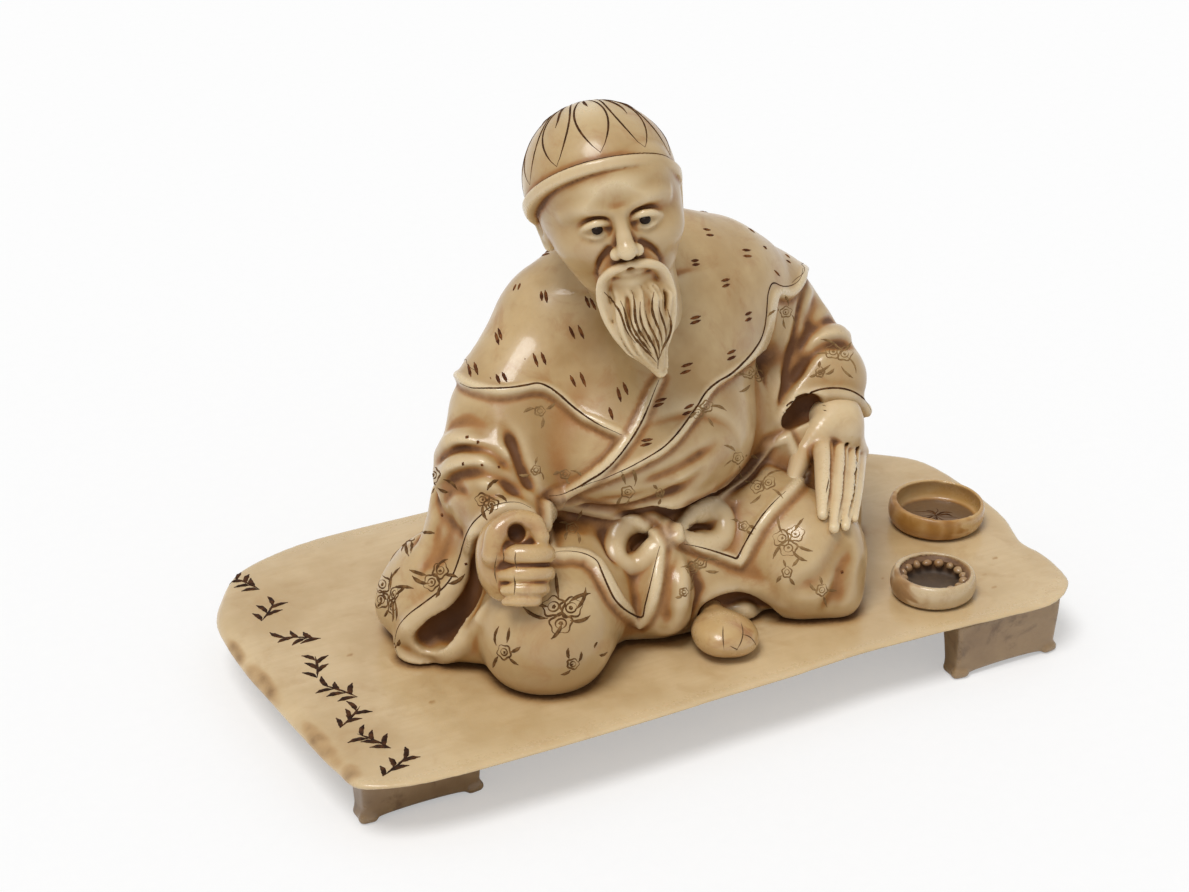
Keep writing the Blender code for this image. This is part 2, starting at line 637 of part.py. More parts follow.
def sleeve_masses(clay):
    """The forearms' sleeves, with a bag of cloth that hangs from each."""
    clay.limb([RIGHT_ELBOW, RIGHT_CUFF], [LOWER_SLEEVE_RADIUS, CUFF_RADIUS])
    clay.limb([RIGHT_ELBOW, SLEEVE_BAG], [LOWER_SLEEVE_RADIUS, CUFF_RADIUS])
    clay.egg(SLEEVE_BAG, half(SLEEVE_BAG_WIDTH, SLEEVE_BAG_DEPTH, SLEEVE_BAG_HEIGHT))
    clay.limb([RIGHT_CUFF, *SLEEVE_HEM], [SLEEVE_HEM_RADIUS] * (len(SLEEVE_HEM) + 1))
    clay.limb([LEFT_ELBOW, LEFT_CUFF], [LOWER_SLEEVE_RADIUS, LOWER_SLEEVE_RADIUS])
    clay.egg(UNDER_ARM_MIDDLE, half(UNDER_ARM_WIDTH, UNDER_ARM_DEPTH, UNDER_ARM_HEIGHT))
    clay.egg(BELOW_CUFF_MIDDLE, half(BELOW_CUFF_WIDTH, BELOW_CUFF_DEPTH, BELOW_CUFF_HEIGHT))
    clay.limb([LEFT_CUFF + Vector((3, 2, 0)) * MM, LEFT_SLEEVE_TIP], [CUFF_RADIUS - 2 * MM, SLEEVE_HEM_RADIUS])


def sash_masses(clay):
    """The sash's bow, below the belly, and the two edges of the apron that hangs from it."""
    knot = BELLY_MIDDLE + Vector((-2 * MM, 0.8 * MM - BELLY_DEPTH / 2, -BELLY_HEIGHT * 0.37))
    clay.egg(knot, Vector((1, 1, 1)) * BOW_ROPE_RADIUS * 1.2)
    for side in (-1, 1):
        tip = knot + Vector((side * (BOW_WIDTH / 2 - BOW_ROPE_RADIUS), -0.5 * MM, 1.5 * MM))
        low = tip - Vector((side * 0.5, 1, 3.1)) * MM
        thin = BOW_ROPE_RADIUS * 0.7
        clay.limb([knot, tip, low, knot], [thin, BOW_ROPE_RADIUS, BOW_ROPE_RADIUS, thin])
    for corner in APRON_CORNERS:
        clay.limb([knot, corner], [APRON_THICKNESS, APRON_THICKNESS])


def cape_solid(frame):
    """The cape: the masses that it covers, grown by its thickness and cut off along its hem."""
    clay = Masses(CAPE_THICKNESS)
    upper_masses(clay)
    cape = cutter("cape", clay.mesh("cape"), parent=frame)
    fuse(cape, BODY_GRAIN, BODY_FACES_KEPT)
    wide = BOARD_LENGTH
    for name, hem, side in (("below_hem_front", CAPE_HEM_FRONT, -1), ("below_hem_back", CAPE_HEM_BACK, 1)):
        line = [(BELLY_MIDDLE.x + across * MM, BELLY_MIDDLE.z + up * MM) for across, up in hem]
        corners = line + [(line[-1][0], -wide), (line[0][0], -wide)]
        mesh = outline_mesh(name, corners, wide)
        mesh.transform(Matrix.Translation((0, side * wide / 2, 0)) @ Matrix.Rotation(math.radians(90), 4, "X"))
        combine(cape, cutter(name, mesh, parent=frame))
    return cape


def head_masses(grow=0.0):
    """The capped head with its beard. The face is a plain, even one, with level eyes."""
    clay = Masses(grow)
    clay.place = HEAD_TURN
    skull = half(HEAD_WIDTH, HEAD_DEPTH, HEAD_HEIGHT)
    clay.egg((0, 0, SKULL_LIFT), skull)
    clay.egg((0, -3 * MM, -6 * MM), half(FACE_WIDTH, FACE_WIDTH, FACE_HEIGHT))
    steps = 16
    band = []
    across_band = Vector((1, 0, 0))
    along_band = Vector((0, math.cos(CAP_BAND_TILT), -math.sin(CAP_BAND_TILT)))
    for step in range(steps + 1):
        angle = 2 * math.pi * step / steps
        way = across_band * math.cos(angle) + along_band * math.sin(angle)
        outward = sum((way[axis] / skull[axis]) ** 2 for axis in range(3))
        drop = way.z * (CAP_BAND_LIFT - SKULL_LIFT) / skull.z ** 2
        inside = 1 - ((CAP_BAND_LIFT - SKULL_LIFT) / skull.z) ** 2
        reach = (math.sqrt(drop ** 2 + outward * inside) - drop) / outward
        band.append(Vector((0, 0, CAP_BAND_LIFT)) + way * reach)
    clay.limb(band, [CAP_BAND_RADIUS] * (steps + 1))
    front = 0.6 * MM - skull.y
    bridge = Vector((0, front, 0))
    nose = bridge + Vector((0, -2.2 * MM, -NOSE_LENGTH))
    clay.limb([bridge, nose], [1.2 * MM, 1.7 * MM])
    for side in (-1, 1):
        eye = Vector((side * EYE_SPACING / 2, front + 1.4 * MM, EYE_LEVEL))
        brow = eye + Vector((side * -2, -1.4, 2.6)) * MM
        clay.limb([brow, brow + Vector((side * 4.4, 2.6, -0.4)) * MM], [0.9 * MM, 0.8 * MM])
        clay.egg(eye, Vector((2.4, 1.6, 1.3)) * MM)
        clay.egg(eye + Vector((side * 1.4, 1.2, -4.6)) * MM, Vector((2.8, 2.2, 2.6)) * MM)
        clay.egg((side * skull.x, 1 * MM, EYE_LEVEL - 2.4 * MM), half(3.6 * MM, 5.6 * MM, EAR_HEIGHT))
        lip = Vector((0, front - 0.4 * MM, -3 * MM - NOSE_LENGTH))
        clay.limb([lip, lip + Vector((side * 3.4, 1.2, -1.4)) * MM, lip + Vector((side * 5.6, 2.8, -4.8)) * MM],
                  [1.1 * MM, 1.1 * MM, 0.8 * MM])
    chin = Vector((0, -CHIN_REACH, -CHIN_DROP))
    tip = chin + Vector((0.5 * MM, -1.5 * MM, -BEARD_LENGTH))
    clay.limb([chin, chin.lerp(tip, 0.4), chin.lerp(tip, 0.75), tip],
              [BEARD_RADIUS * 0.9, BEARD_RADIUS, BEARD_RADIUS * 0.7, BEARD_RADIUS * 0.2])
    clay.place = Matrix()
    clay.limb([HEAD_MIDDLE + Vector((3, 4, -9)) * MM, NECK_FOOT], [NECK_RADIUS, NECK_RADIUS])
    return clay


def fist_masses(grow=0.0):
    """The right hand, closed, with four fingers one above the other, and its wrist."""
    clay = Masses(grow)
    size = half(FIST_WIDTH, FIST_DEPTH, FIST_HEIGHT)
    clay.egg(FIST, size)
    for finger in range(4):
        level = (1.5 - finger) * FINGER_SPACING
        root = FIST + Vector((-size.x * 0.4, -size.y * 0.7, level))
        tip = FIST + Vector((size.x * 0.7, -size.y * 0.62, level))
        clay.limb([root, tip], [FINGER_RADIUS * 0.86, FINGER_RADIUS * 0.8])
    clay.limb([FIST + Vector((0, 2, 1)) * MM, FIST_WRIST], [WRIST_RADIUS, WRIST_RADIUS])
    return clay


def open_hand_masses(grow=0.0):
    """The left hand, laid on the knee, with its fingers forward and down and its thumb apart."""
    clay = Masses(grow)
    clay.limb([LEFT_WRIST, LEFT_PALM], [WRIST_RADIUS, PALM_RADIUS])
    knuckles = [LEFT_PALM + Vector(place) * MM for place in KNUCKLES]
    tips = [LEFT_PALM + Vector(place) * MM for place in FINGERTIPS]
    for knuckle, tip in zip(knuckles, tips):
        clay.limb([LEFT_PALM, knuckle, knuckle.lerp(tip, 0.5), tip],
                  [PALM_RADIUS * 0.7, FINGER_RADIUS * 1.1, FINGER_RADIUS * 0.95, FINGER_RADIUS * 0.6])
    thumb = [LEFT_PALM + Vector(place) * MM for place in THUMB]
    clay.limb([LEFT_PALM, *thumb],
              [PALM_RADIUS * 0.7, FINGER_RADIUS * 1.4, FINGER_RADIUS * 1.15, FINGER_RADIUS * 0.8])
    return clay


def bare_foot_masses(grow=0.0):
    """The toe end of the bare foot, which shows below the hem, and the stub that holds it."""
    clay = Masses(grow)
    clay.egg(BARE_FOOT_MIDDLE, half(BARE_FOOT_WIDTH, BARE_FOOT_LENGTH, BARE_FOOT_HEIGHT), math.radians(8))
    thick = BARE_FOOT_HEIGHT / 2
    clay.limb([BARE_FOOT_MIDDLE + Vector((0, BARE_FOOT_STUB / 3, 0)), BARE_FOOT_HEEL], [thick, thick])
    return clay


def inset(name, masses, body, look, frame):
    """A separately carved piece, and the room for it in the body."""
    piece = node(name, masses().mesh(name), look, parent=frame)
    fuse(piece, DETAIL_GRAIN, DETAIL_FACES_KEPT, DETAIL_SMOOTHING)
    room = cutter(f"room_{name}", masses(CLEARANCE + CARVING_SLACK).mesh(f"room_{name}"), parent=frame)
    fuse(room, DETAIL_GRAIN, ROOM_FACES_KEPT, DETAIL_SMOOTHING)
    combine(body, room)
    return piece


def make_figure(board, looks):
    """The seated man. His parts hang from an empty on the board, at the height of his seat."""
    frame = bpy.data.objects.new("figure_seat", None)
    frame.location = (0, 0, SEAT)
    PARTS.objects.link(frame)
    clay = Masses()
    upper_masses(clay)
    lower_masses(clay)
    sleeve_masses(clay)
    sash_masses(clay)
    body = node("figure_body", clay.mesh("figure_body"), looks["ivory"], parent=frame)
    fuse(body, BODY_GRAIN, 1)
    combine(body, cape_solid(frame), "UNION")
    cloth = plain_mesh(body)
    carve_folds(cloth)
    body.modifiers.clear()
    body.data = cloth
    fuse(body, FOLD_GRAIN, FOLD_FACES_KEPT, 1)
    seat_cut = below_seat(frame)
    combine(body, seat_cut)
    combine(body, sleeve_mouth(frame))
    head = inset("head", head_masses, body, looks["ivory"], frame)
    fist = inset("right_hand", fist_masses, body, looks["old_ivory"], frame)
    hand = inset("left_hand", open_hand_masses, body, looks["ivory"], frame)
    bare_foot = inset("bare_foot", bare_foot_masses, body, looks["old_ivory"], frame)
    combine(bare_foot, seat_cut)
    combine(fist, grip_hole(frame))
    peg_across("neck_peg", NECK_FOOT, NECK_FOOT - HEAD_MIDDLE, NECK_RADIUS, NECK_PEG_RADIUS,
               NECK_PEG_LENGTH, [head, body], looks["peg"], frame)
    for name, piece, end, way, thick in (
            ("right_wrist_peg", fist, FIST_WRIST, (0, 1, 0.4), WRIST_RADIUS),
            ("left_wrist_peg", hand, LEFT_WRIST, (0, 1, 0.6), WRIST_RADIUS),
            ("bare_foot_peg", bare_foot, BARE_FOOT_HEEL, (0, 1, 0), BARE_FOOT_HEIGHT / 2)):
        peg_across(name, end, way, thick, HAND_PEG_RADIUS, HAND_PEG_LENGTH, [piece, body], looks["peg"], frame)
    make_pupils(head, looks["pupil"], frame)
    make_figure_pegs(body, board, looks["peg"], frame)


def peg_across(name, end, way, thick, radius, length, pieces, look, frame):
    """A dowel half in a piece and half in the body, through the round end of the piece."""
    way = Vector(way).normalized()
    middle = end + way * thick
    return peg(name, middle - way * length / 2, middle + way * length / 2, radius, pieces, look, frame)


def below_seat(frame):
    """All that lies under the flat seat."""
    wide = 200 * MM
    bm = bmesh.new()
    bmesh.ops.create_cube(bm, size=wide, matrix=Matrix.Translation((0, 0, -wide / 2)))
    return cutter("below_seat", mesh_from(bm, "below_seat"), parent=frame)


def sleeve_mouth(frame):
    """The hollow in the front of the hanging right sleeve."""
    place = SLEEVE_HEM[0].lerp(SLEEVE_HEM[1], 0.75) + Vector((-1, -SLEEVE_HEM_RADIUS / MM, 1)) * MM
    clay = Masses()
    clay.egg(place, half(SLEEVE_MOUTH_WIDTH, SLEEVE_MOUTH_DEPTH * 2, SLEEVE_MOUTH_HEIGHT))
    return cutter("sleeve_mouth", clay.mesh("sleeve_mouth"), parent=frame)


def grip_hole(frame):
    """The hole down into the fist, empty now, for what it once held."""
    top = FIST + Vector((0, 0, FIST_HEIGHT))
    bottom = FIST + Vector((0, 0, FIST_HEIGHT / 2 - GRIP_HOLE_DEPTH))
    return cutter("grip_hole", rod("grip_hole", top, bottom, GRIP_HOLE_RADIUS), parent=frame)


def make_pupils(head, look, frame):
    """Two dark studs let into the eyes."""
    surface = 0.4 * MM - HEAD_DEPTH / 2
    for name, side in (("eye_inlay_right", -1), ("eye_inlay_left", 1)):
        outer = HEAD_TURN @ Vector((side * EYE_SPACING / 2, surface, EYE_LEVEL))
        inner = HEAD_TURN @ Vector((side * EYE_SPACING / 2, surface + PUPIL_DEPTH, EYE_LEVEL))
        peg(name, outer, inner, PUPIL_RADIUS, [head], look, frame)


def make_figure_pegs(body, board, look, frame):
    """Two dowels that stand in the board and reach up into the figure."""
    for name, side in (("figure_peg_right", -1), ("figure_peg_left", 1)):
        x = side * FIGURE_PEG_SPACING / 2
        peg(name, (x, FIGURE_PEG_BACK, -CLEARANCE - PEG_BOARD_DEPTH), (x, FIGURE_PEG_BACK, FIGURE_PEG_REACH),
            FIGURE_PEG_RADIUS, [body, board], look, frame)


def make_carving():
    looks = {
        "ivory": material("cream ivory", (0.72, 0.56, 0.36), 0.28),
        "old_ivory": material("yellowed ivory", (0.68, 0.47, 0.24), 0.3),
        "board": material("tan ivory", (0.60, 0.43, 0.24), 0.34),
        "peg": material("peg ivory", (0.66, 0.52, 0.34), 0.5),
        "pupil": material("dark horn", (0.03, 0.015, 0.008), 0.25),
        "bowl": material("amber-stained ivory", (0.56, 0.37, 0.18), 0.3),
    }
    board = make_board(looks["board"])
    make_feet(board, looks["board"], looks["peg"])
    make_figure(board, looks)
    make_bowl("large_bowl", looks["bowl"], LARGE_BOWL_PLACE, LARGE_BOWL_RADIUS, LARGE_BOWL_HEIGHT,
              LARGE_BOWL_BASE_RADIUS, LARGE_BOWL_RIM_RADIUS)
    make_bowl("small_bowl", looks["ivory"], SMALL_BOWL_PLACE, SMALL_BOWL_RADIUS, SMALL_BOWL_HEIGHT,
              SMALL_BOWL_BASE_RADIUS, SMALL_BOWL_RIM_RADIUS)


make_carving()
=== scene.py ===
import json
import math
import random

import bpy
import numpy as np
from mathutils import Matrix, Vector
from mathutils.bvhtree import BVHTree

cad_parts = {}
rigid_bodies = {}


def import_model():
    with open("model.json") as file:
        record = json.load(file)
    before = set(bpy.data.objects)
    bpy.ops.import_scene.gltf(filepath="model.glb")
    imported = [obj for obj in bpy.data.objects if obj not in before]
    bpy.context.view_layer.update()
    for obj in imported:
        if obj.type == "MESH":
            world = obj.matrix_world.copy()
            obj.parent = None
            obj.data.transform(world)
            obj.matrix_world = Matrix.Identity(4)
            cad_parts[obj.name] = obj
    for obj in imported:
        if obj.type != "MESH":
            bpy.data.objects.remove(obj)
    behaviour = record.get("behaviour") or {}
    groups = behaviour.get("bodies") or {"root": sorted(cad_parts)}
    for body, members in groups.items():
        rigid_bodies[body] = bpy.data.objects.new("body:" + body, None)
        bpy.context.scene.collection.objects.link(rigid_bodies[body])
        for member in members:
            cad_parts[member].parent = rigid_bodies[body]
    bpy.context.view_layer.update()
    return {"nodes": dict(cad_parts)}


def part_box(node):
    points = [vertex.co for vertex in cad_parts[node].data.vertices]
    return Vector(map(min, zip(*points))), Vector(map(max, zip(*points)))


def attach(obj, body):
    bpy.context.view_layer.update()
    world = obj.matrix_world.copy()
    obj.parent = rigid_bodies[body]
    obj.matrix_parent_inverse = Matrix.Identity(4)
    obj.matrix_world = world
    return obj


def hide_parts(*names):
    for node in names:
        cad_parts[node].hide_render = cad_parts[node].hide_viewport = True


for leftover in list(bpy.data.objects):
    bpy.data.objects.remove(leftover)
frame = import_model()

MM = 0.001
FAR = 9.0                    # clay further away than this needs no exact distance
BEYOND = 1e9                 # more than any distance here
TINY = 1e-9                  # keeps a division away from zero
TOUCH = 0.02                 # a ray this close to the clay has met it
MOST_STRIDES = 300           # that a ray takes to find the clay
RAY_START = 150.0            # outside the carving on every side
CREASE, HOLLOW = 0.9, 2.6    # radii of the fine and the broad places that hold dirt
MOST_TRIANGLES = 196000      # for one piece
rng = random.Random(11)

# The photograph's viewpoint, in millimetres and pixels.
PICTURE = (1189, 892)
LENS, SENSOR = 85.0, 36.0
AZIMUTH, ELEVATION, ROLL, DISTANCE = -27.983, 26.192, -0.404, 506.05
AIM = (-5.267, 5.875, 37.829)
PIXELS_PER_MM = 5.55         # on a plane through the middle of the carving

SEAT = 12.3                  # where figure and bowls meet the board
# For each side: the axis that it faces along, which way, and the two coordinates that place a point on it.
SIDES = {"back": (1, 1, (0, 2)), "right": (0, 1, (1, 2)), "left": (0, -1, (1, 2)), "top": (2, 1, (0, 1))}
BOARD_TOP = 12.0


def unit(v):
    v = np.asarray(v, float)
    return v / np.linalg.norm(v, axis=-1, keepdims=True)


def turn(axis, degrees):
    a = unit(axis)
    t = math.radians(degrees)
    k = np.array([[0, -a[2], a[1]], [a[2], 0, -a[0]], [-a[1], a[0], 0]])
    return np.eye(3) + math.sin(t) * k + (1 - math.cos(t)) * k @ k


def ease(low, high, x):
    t = np.clip((np.asarray(x, float) - low) / (high - low), 0, 1)
    return t * t * (3 - 2 * t)


class Viewpoint:
    """The camera of the photograph, in millimetres."""

    def __init__(self):
        a, e, r = (math.radians(v) for v in (AZIMUTH, ELEVATION, ROLL))
        back = np.array([math.sin(a) * math.cos(e), -math.cos(a) * math.cos(e), math.sin(e)])
        self.place = np.array(AIM) + back * DISTANCE
        self.ahead = -back
        level = unit(np.cross(self.ahead, [0, 0, 1]))
        raised = np.cross(level, self.ahead)
        self.right = level * math.cos(r) + raised * math.sin(r)
        self.up = raised * math.cos(r) - level * math.sin(r)
        self.focal = LENS / SENSOR * PICTURE[0]

    def pixels(self, points):
        d = np.asarray(points, float) - self.place
        depth = d @ self.ahead
        across = PICTURE[0] / 2 + self.focal * (d @ self.right) / depth
        down = PICTURE[1] / 2 - self.focal * (d @ self.up) / depth
        return np.stack([across, down], -1), depth

    def rays(self, pixels):
        p = np.atleast_2d(np.asarray(pixels, float))
        across, down = p[:, 0] - PICTURE[0] / 2, p[:, 1] - PICTURE[1] / 2
        d = self.ahead * self.focal + np.outer(across, self.right) - np.outer(down, self.up)
        return np.broadcast_to(self.place, d.shape), unit(d)


eye = Viewpoint()


def curve(points, steps=5):
    """A smooth curve through points."""
    p = np.asarray(points, float)
    p = np.vstack([2 * p[0] - p[1], p, 2 * p[-1] - p[-2]])
    t = (np.arange(steps) / steps)[:, None]
    out = []
    for a, b, c, d in zip(p, p[1:], p[2:], p[3:]):
        square, cube = 2 * a - 5 * b + 4 * c - d, 3 * b - a - 3 * c + d
        out.append(0.5 * (2 * b + (c - a) * t + square * t**2 + cube * t**3))
    return np.vstack(out + [p[-2:-1]])


def spread(values, count):
    """Values set along a path, interpolated to count places."""
    v = np.atleast_1d(np.asarray(values, float))
    if len(v) == 1:
        return np.full(count, v[0])
    return np.interp(np.linspace(0, 1, count), np.linspace(0, 1, len(v)), v)


def soft_min(a, b, k):
    k = np.maximum(k, 1e-4)
    h = np.maximum(k - np.abs(a - b), 0) / k
    return np.minimum(a, b) - h * h * (k * 0.25)


def soft_max(a, b, k):
    return -soft_min(-a, -b, k)


def egg(centre, radii, frame_of=None):
    """A ball stretched along three axes."""
    c, r = np.asarray(centre, float), np.asarray(radii, float)
    m = np.eye(3) if frame_of is None else frame_of
    reach = np.sqrt(((m * r) ** 2).sum(1))

    def field(x, y, z, _):
        x, y, z = x - np.float32(c[0]), y - np.float32(c[1]), z - np.float32(c[2])
        axes = [x, y, z]
        if frame_of is not None:
            axes = [m[0, i] * x + m[1, i] * y + m[2, i] * z for i in range(3)]
        u, v, w = (a / np.float32(s) for a, s in zip(axes, r))
        k0 = np.sqrt(u * u + v * v + w * w)
        k1 = np.sqrt((u / r[0]) ** 2 + (v / r[1]) ** 2 + (w / r[2]) ** 2) + 1e-6
        return (k0 * (k0 - 1) / k1).astype(np.float32)

    return c - reach, c + reach, field


def limb(points, radii):
    """A round limb through points, with a radius at each."""
    p = np.asarray(points, np.float32)
    r = spread(radii, len(p)).astype(np.float32)

    def field(x, y, z, reach):
        out = np.full((x.shape[0], y.shape[1], z.shape[2]), FAR, np.float32)
        lines = x.ravel(), y.ravel(), z.ravel()
        for a, b, ra, rb in zip(p, p[1:], r, r[1:]):
            grow = max(ra, rb) + reach
            spans = [(min(a[i], b[i]) - grow, max(a[i], b[i]) + grow) for i in range(3)]
            cuts = tuple(slice(*np.searchsorted(g, span)) for g, span in zip(lines, spans))
            part = out[cuts]
            if part.size:
                dx, dy, dz = x[cuts[0]] - a[0], y[:, cuts[1]] - a[1], z[:, :, cuts[2]] - a[2]
                ab = b - a
                t = np.clip((dx * ab[0] + dy * ab[1] + dz * ab[2]) / max(ab @ ab, TINY), 0, 1)
                away = np.sqrt((dx - t * ab[0]) ** 2 + (dy - t * ab[1]) ** 2 + (dz - t * ab[2]) ** 2)
                np.minimum(part, away - (ra + (rb - ra) * t), out=part)
        return out

    return (p - r[:, None]).min(0), (p + r[:, None]).max(0), field


def rope(points, radii):
    """A round limb along a smooth curve."""
    c = curve(points)
    return limb(c, spread(radii, len(c)))


class Clay:
    """A block of clay on a grid: signed distances in millimetres, less than zero inside."""

    def __init__(self, low, high, step):
        self.step = np.full(3, float(step)) if np.isscalar(step) else np.array(step, float)
        self.low = np.array(low, float)
        self.count = np.ceil((np.array(high) - self.low) / self.step).astype(int) + 1
        self.axes = [(low_end + size * np.arange(count)).astype(np.float32)
                     for low_end, size, count in zip(self.low, self.step, self.count)]
        self.d = np.full(self.count, FAR, np.float32)

    def join(self, shape, soft=2.0, cut=False):
        low, high, field = shape
        reach = soft + 2 * self.step.max()
        cuts = tuple(slice(*np.searchsorted(a, (start - reach, end + reach)))
                     for a, start, end in zip(self.axes, low, high))
        x, y, z = (a[c] for a, c in zip(self.axes, cuts))
        if len(x) and len(y) and len(z):
            v = field(x[:, None, None], y[None, :, None], z[None, None, :], reach)
            self.d[cuts] = -soft_min(-self.d[cuts], v, soft) if cut else soft_min(self.d[cuts], v, soft)

    def add(self, parts):
        """Joins shapes in turn, each given with its softness."""
        for shape, soft in parts:
            self.join(shape, soft)

    def keep(self, field):
        """Keeps the clay where field(x, y, z) is below zero."""
        x, y, z = self.axes
        v = field(x[:, None, None], y[None, :, None], z[None, None, :])
        self.d = -soft_min(-self.d, -v, 0.0).astype(np.float32)

    def read(self, points, grid=None):
        g = self.d if grid is None else grid
        q = np.clip((np.asarray(points) - self.low) / self.step, 0, self.count - 1.001)
        i = q.astype(int)
        f = q - i
        out = 0
        for ox in (0, 1):
            for oy in (0, 1):
                for oz in (0, 1):
                    wx, wy, wz = (f[:, k] if o else 1 - f[:, k] for k, o in enumerate((ox, oy, oz)))
                    out = out + wx * wy * wz * g[i[:, 0] + ox, i[:, 1] + oy, i[:, 2] + oz]
        return out

    def slope(self, points):
        e = np.eye(3) * self.step * 1.5
        rise = [self.read(points + e[i]) - self.read(points - e[i]) for i in range(3)]
        return unit(np.stack(rise, -1) + TINY)

    def meet(self, start, heading):
        """Where rays first meet the clay, or where they pass closest to it."""
        low, high = self.low + 1e-3, self.low + self.step * (self.count - 1) - 1e-3
        with np.errstate(divide="ignore", invalid="ignore"):
            a, b = (low - start) / heading, (high - start) / heading
        near, far = np.minimum(a, b).max(1), np.maximum(a, b).min(1)
        t = np.maximum(near, 0)
        best_t, best = t.copy(), np.full(len(t), BEYOND)
        for _ in range(MOST_STRIDES):
            v = self.read(start + heading * t[:, None])
            better = (v < best) & (best > TOUCH)
            best_t, best = np.where(better, t, best_t), np.where(better, v, best)
            t = np.minimum(np.where(best > TOUCH, t + np.maximum(v * 0.75, 0.06), t), far)
            if np.all((best <= TOUCH) | (t >= far)):
                break
        return start + heading * best_t[:, None]

    def seen_at(self, pixels):
        return self.meet(*eye.rays(pixels))

    def from_side(self, side, points):
        """Places on the clay's back, left, right or top, from two of their coordinates."""
        p = np.atleast_2d(np.asarray(points, float))
        axis, sign, kept = SIDES[side]
        start, heading = np.zeros((len(p), 3)), np.zeros((len(p), 3))
        start[:, kept] = p
        start[:, axis], heading[:, axis] = RAY_START * sign, -sign
        heading += 1e-7
        return self.meet(start, heading)

    def carve(self, path, radius, height, soft=1.2, taper=0.25):
        """Raises a roll, or with a height below zero sinks a groove, along a path on the surface."""
        p = curve(path)
        t = np.linspace(0, 1, len(p))
        ends = ease(0, taper, np.minimum(t, 1 - t) + 0.02) if taper else 1.0
        r = spread(radius, len(p)) * (0.45 + 0.55 * ends)
        h = spread(height, len(p)) * ends
        n = self.slope(p)
        if np.min(height) < 0:
            self.join(limb(p + n * (r + h)[:, None], r), soft, cut=True)
        else:
            self.join(limb(p - n * (r - h)[:, None], r), soft)

    def skin(self):
        """The surface as points and four-sided faces."""
        d, inside = self.d, self.d < 0
        corners = [(i, j, k) for i in (0, 1) for j in (0, 1) for k in (0, 1)]
        n = self.count - 1
        total = sum(inside[i:i + n[0], j:j + n[1], k:k + n[2]].astype(np.int8) for i, j, k in corners)
        cells = np.argwhere((total > 0) & (total < 8))
        number = np.full(n, -1, np.int32)
        number[tuple(cells.T)] = np.arange(len(cells))
        values = np.stack([d[cells[:, 0] + i, cells[:, 1] + j, cells[:, 2] + k] for i, j, k in corners], 1)
        place, hits = np.zeros((len(cells), 3)), np.zeros(len(cells))
        for a in range(8):
            for b in range(a + 1, 8):
                step = np.subtract(corners[b], corners[a])
                if np.abs(step).sum() == 1:
                    va, vb = values[:, a], values[:, b]
                    cross = (va < 0) != (vb < 0)
                    t = (va[cross] / (va[cross] - vb[cross]))[:, None]
                    place[cross] += corners[a] + t * step
                    hits[cross] += 1
        points = self.low + self.step * (cells + place / hits[:, None])
        faces = []
        for axis in range(3):
            u, v = (axis + 1) % 3, (axis + 2) % 3
            lead = [slice(1, -1)] * 3
            here, there = list(lead), list(lead)
            here[axis], there[axis] = slice(0, -1), slice(1, None)
            change = inside[tuple(here)] != inside[tuple(there)]
            at = np.argwhere(change)
            at[:, u] += 1
            at[:, v] += 1
            quad = []
            for du, dv in ((-1, -1), (0, -1), (0, 0), (-1, 0)):
                c = at.copy()
                c[:, u] += du
                c[:, v] += dv
                quad.append(number[tuple(c.T)])
            quad = np.stack(quad, 1)
            out = inside[tuple(at.T)]
            quad[~out] = quad[~out][:, ::-1]
            faces.append(quad)
        return points, np.vstack(faces)

    def hollowness(self, points, radius):
        """Above zero in creases and below zero on ridges, for details of about this radius."""
        g = np.clip(self.d, -2.5, 2.5)
        for axis in range(3):
            n = max(1, int(round(radius / self.step[axis])))
            for _ in range(2):
                c = np.cumsum(g, axis=axis, dtype=np.float32)
                size = g.shape[axis]
                high = np.take(c, np.minimum(np.arange(size) + n, size - 1), axis=axis)
                low_at = np.arange(size) - n - 1
                low = np.take(c, np.maximum(low_at, 0), axis=axis)
                shape = [1, 1, 1]
                shape[axis] = size
                some = (low_at >= 0).astype(np.float32).reshape(shape)
                reached = np.minimum(np.arange(size) + n, size - 1) - np.maximum(low_at, -1)
                g = (high - low * some) / reached.astype(np.float32).reshape(shape)
        return -self.read(points, g) / radius


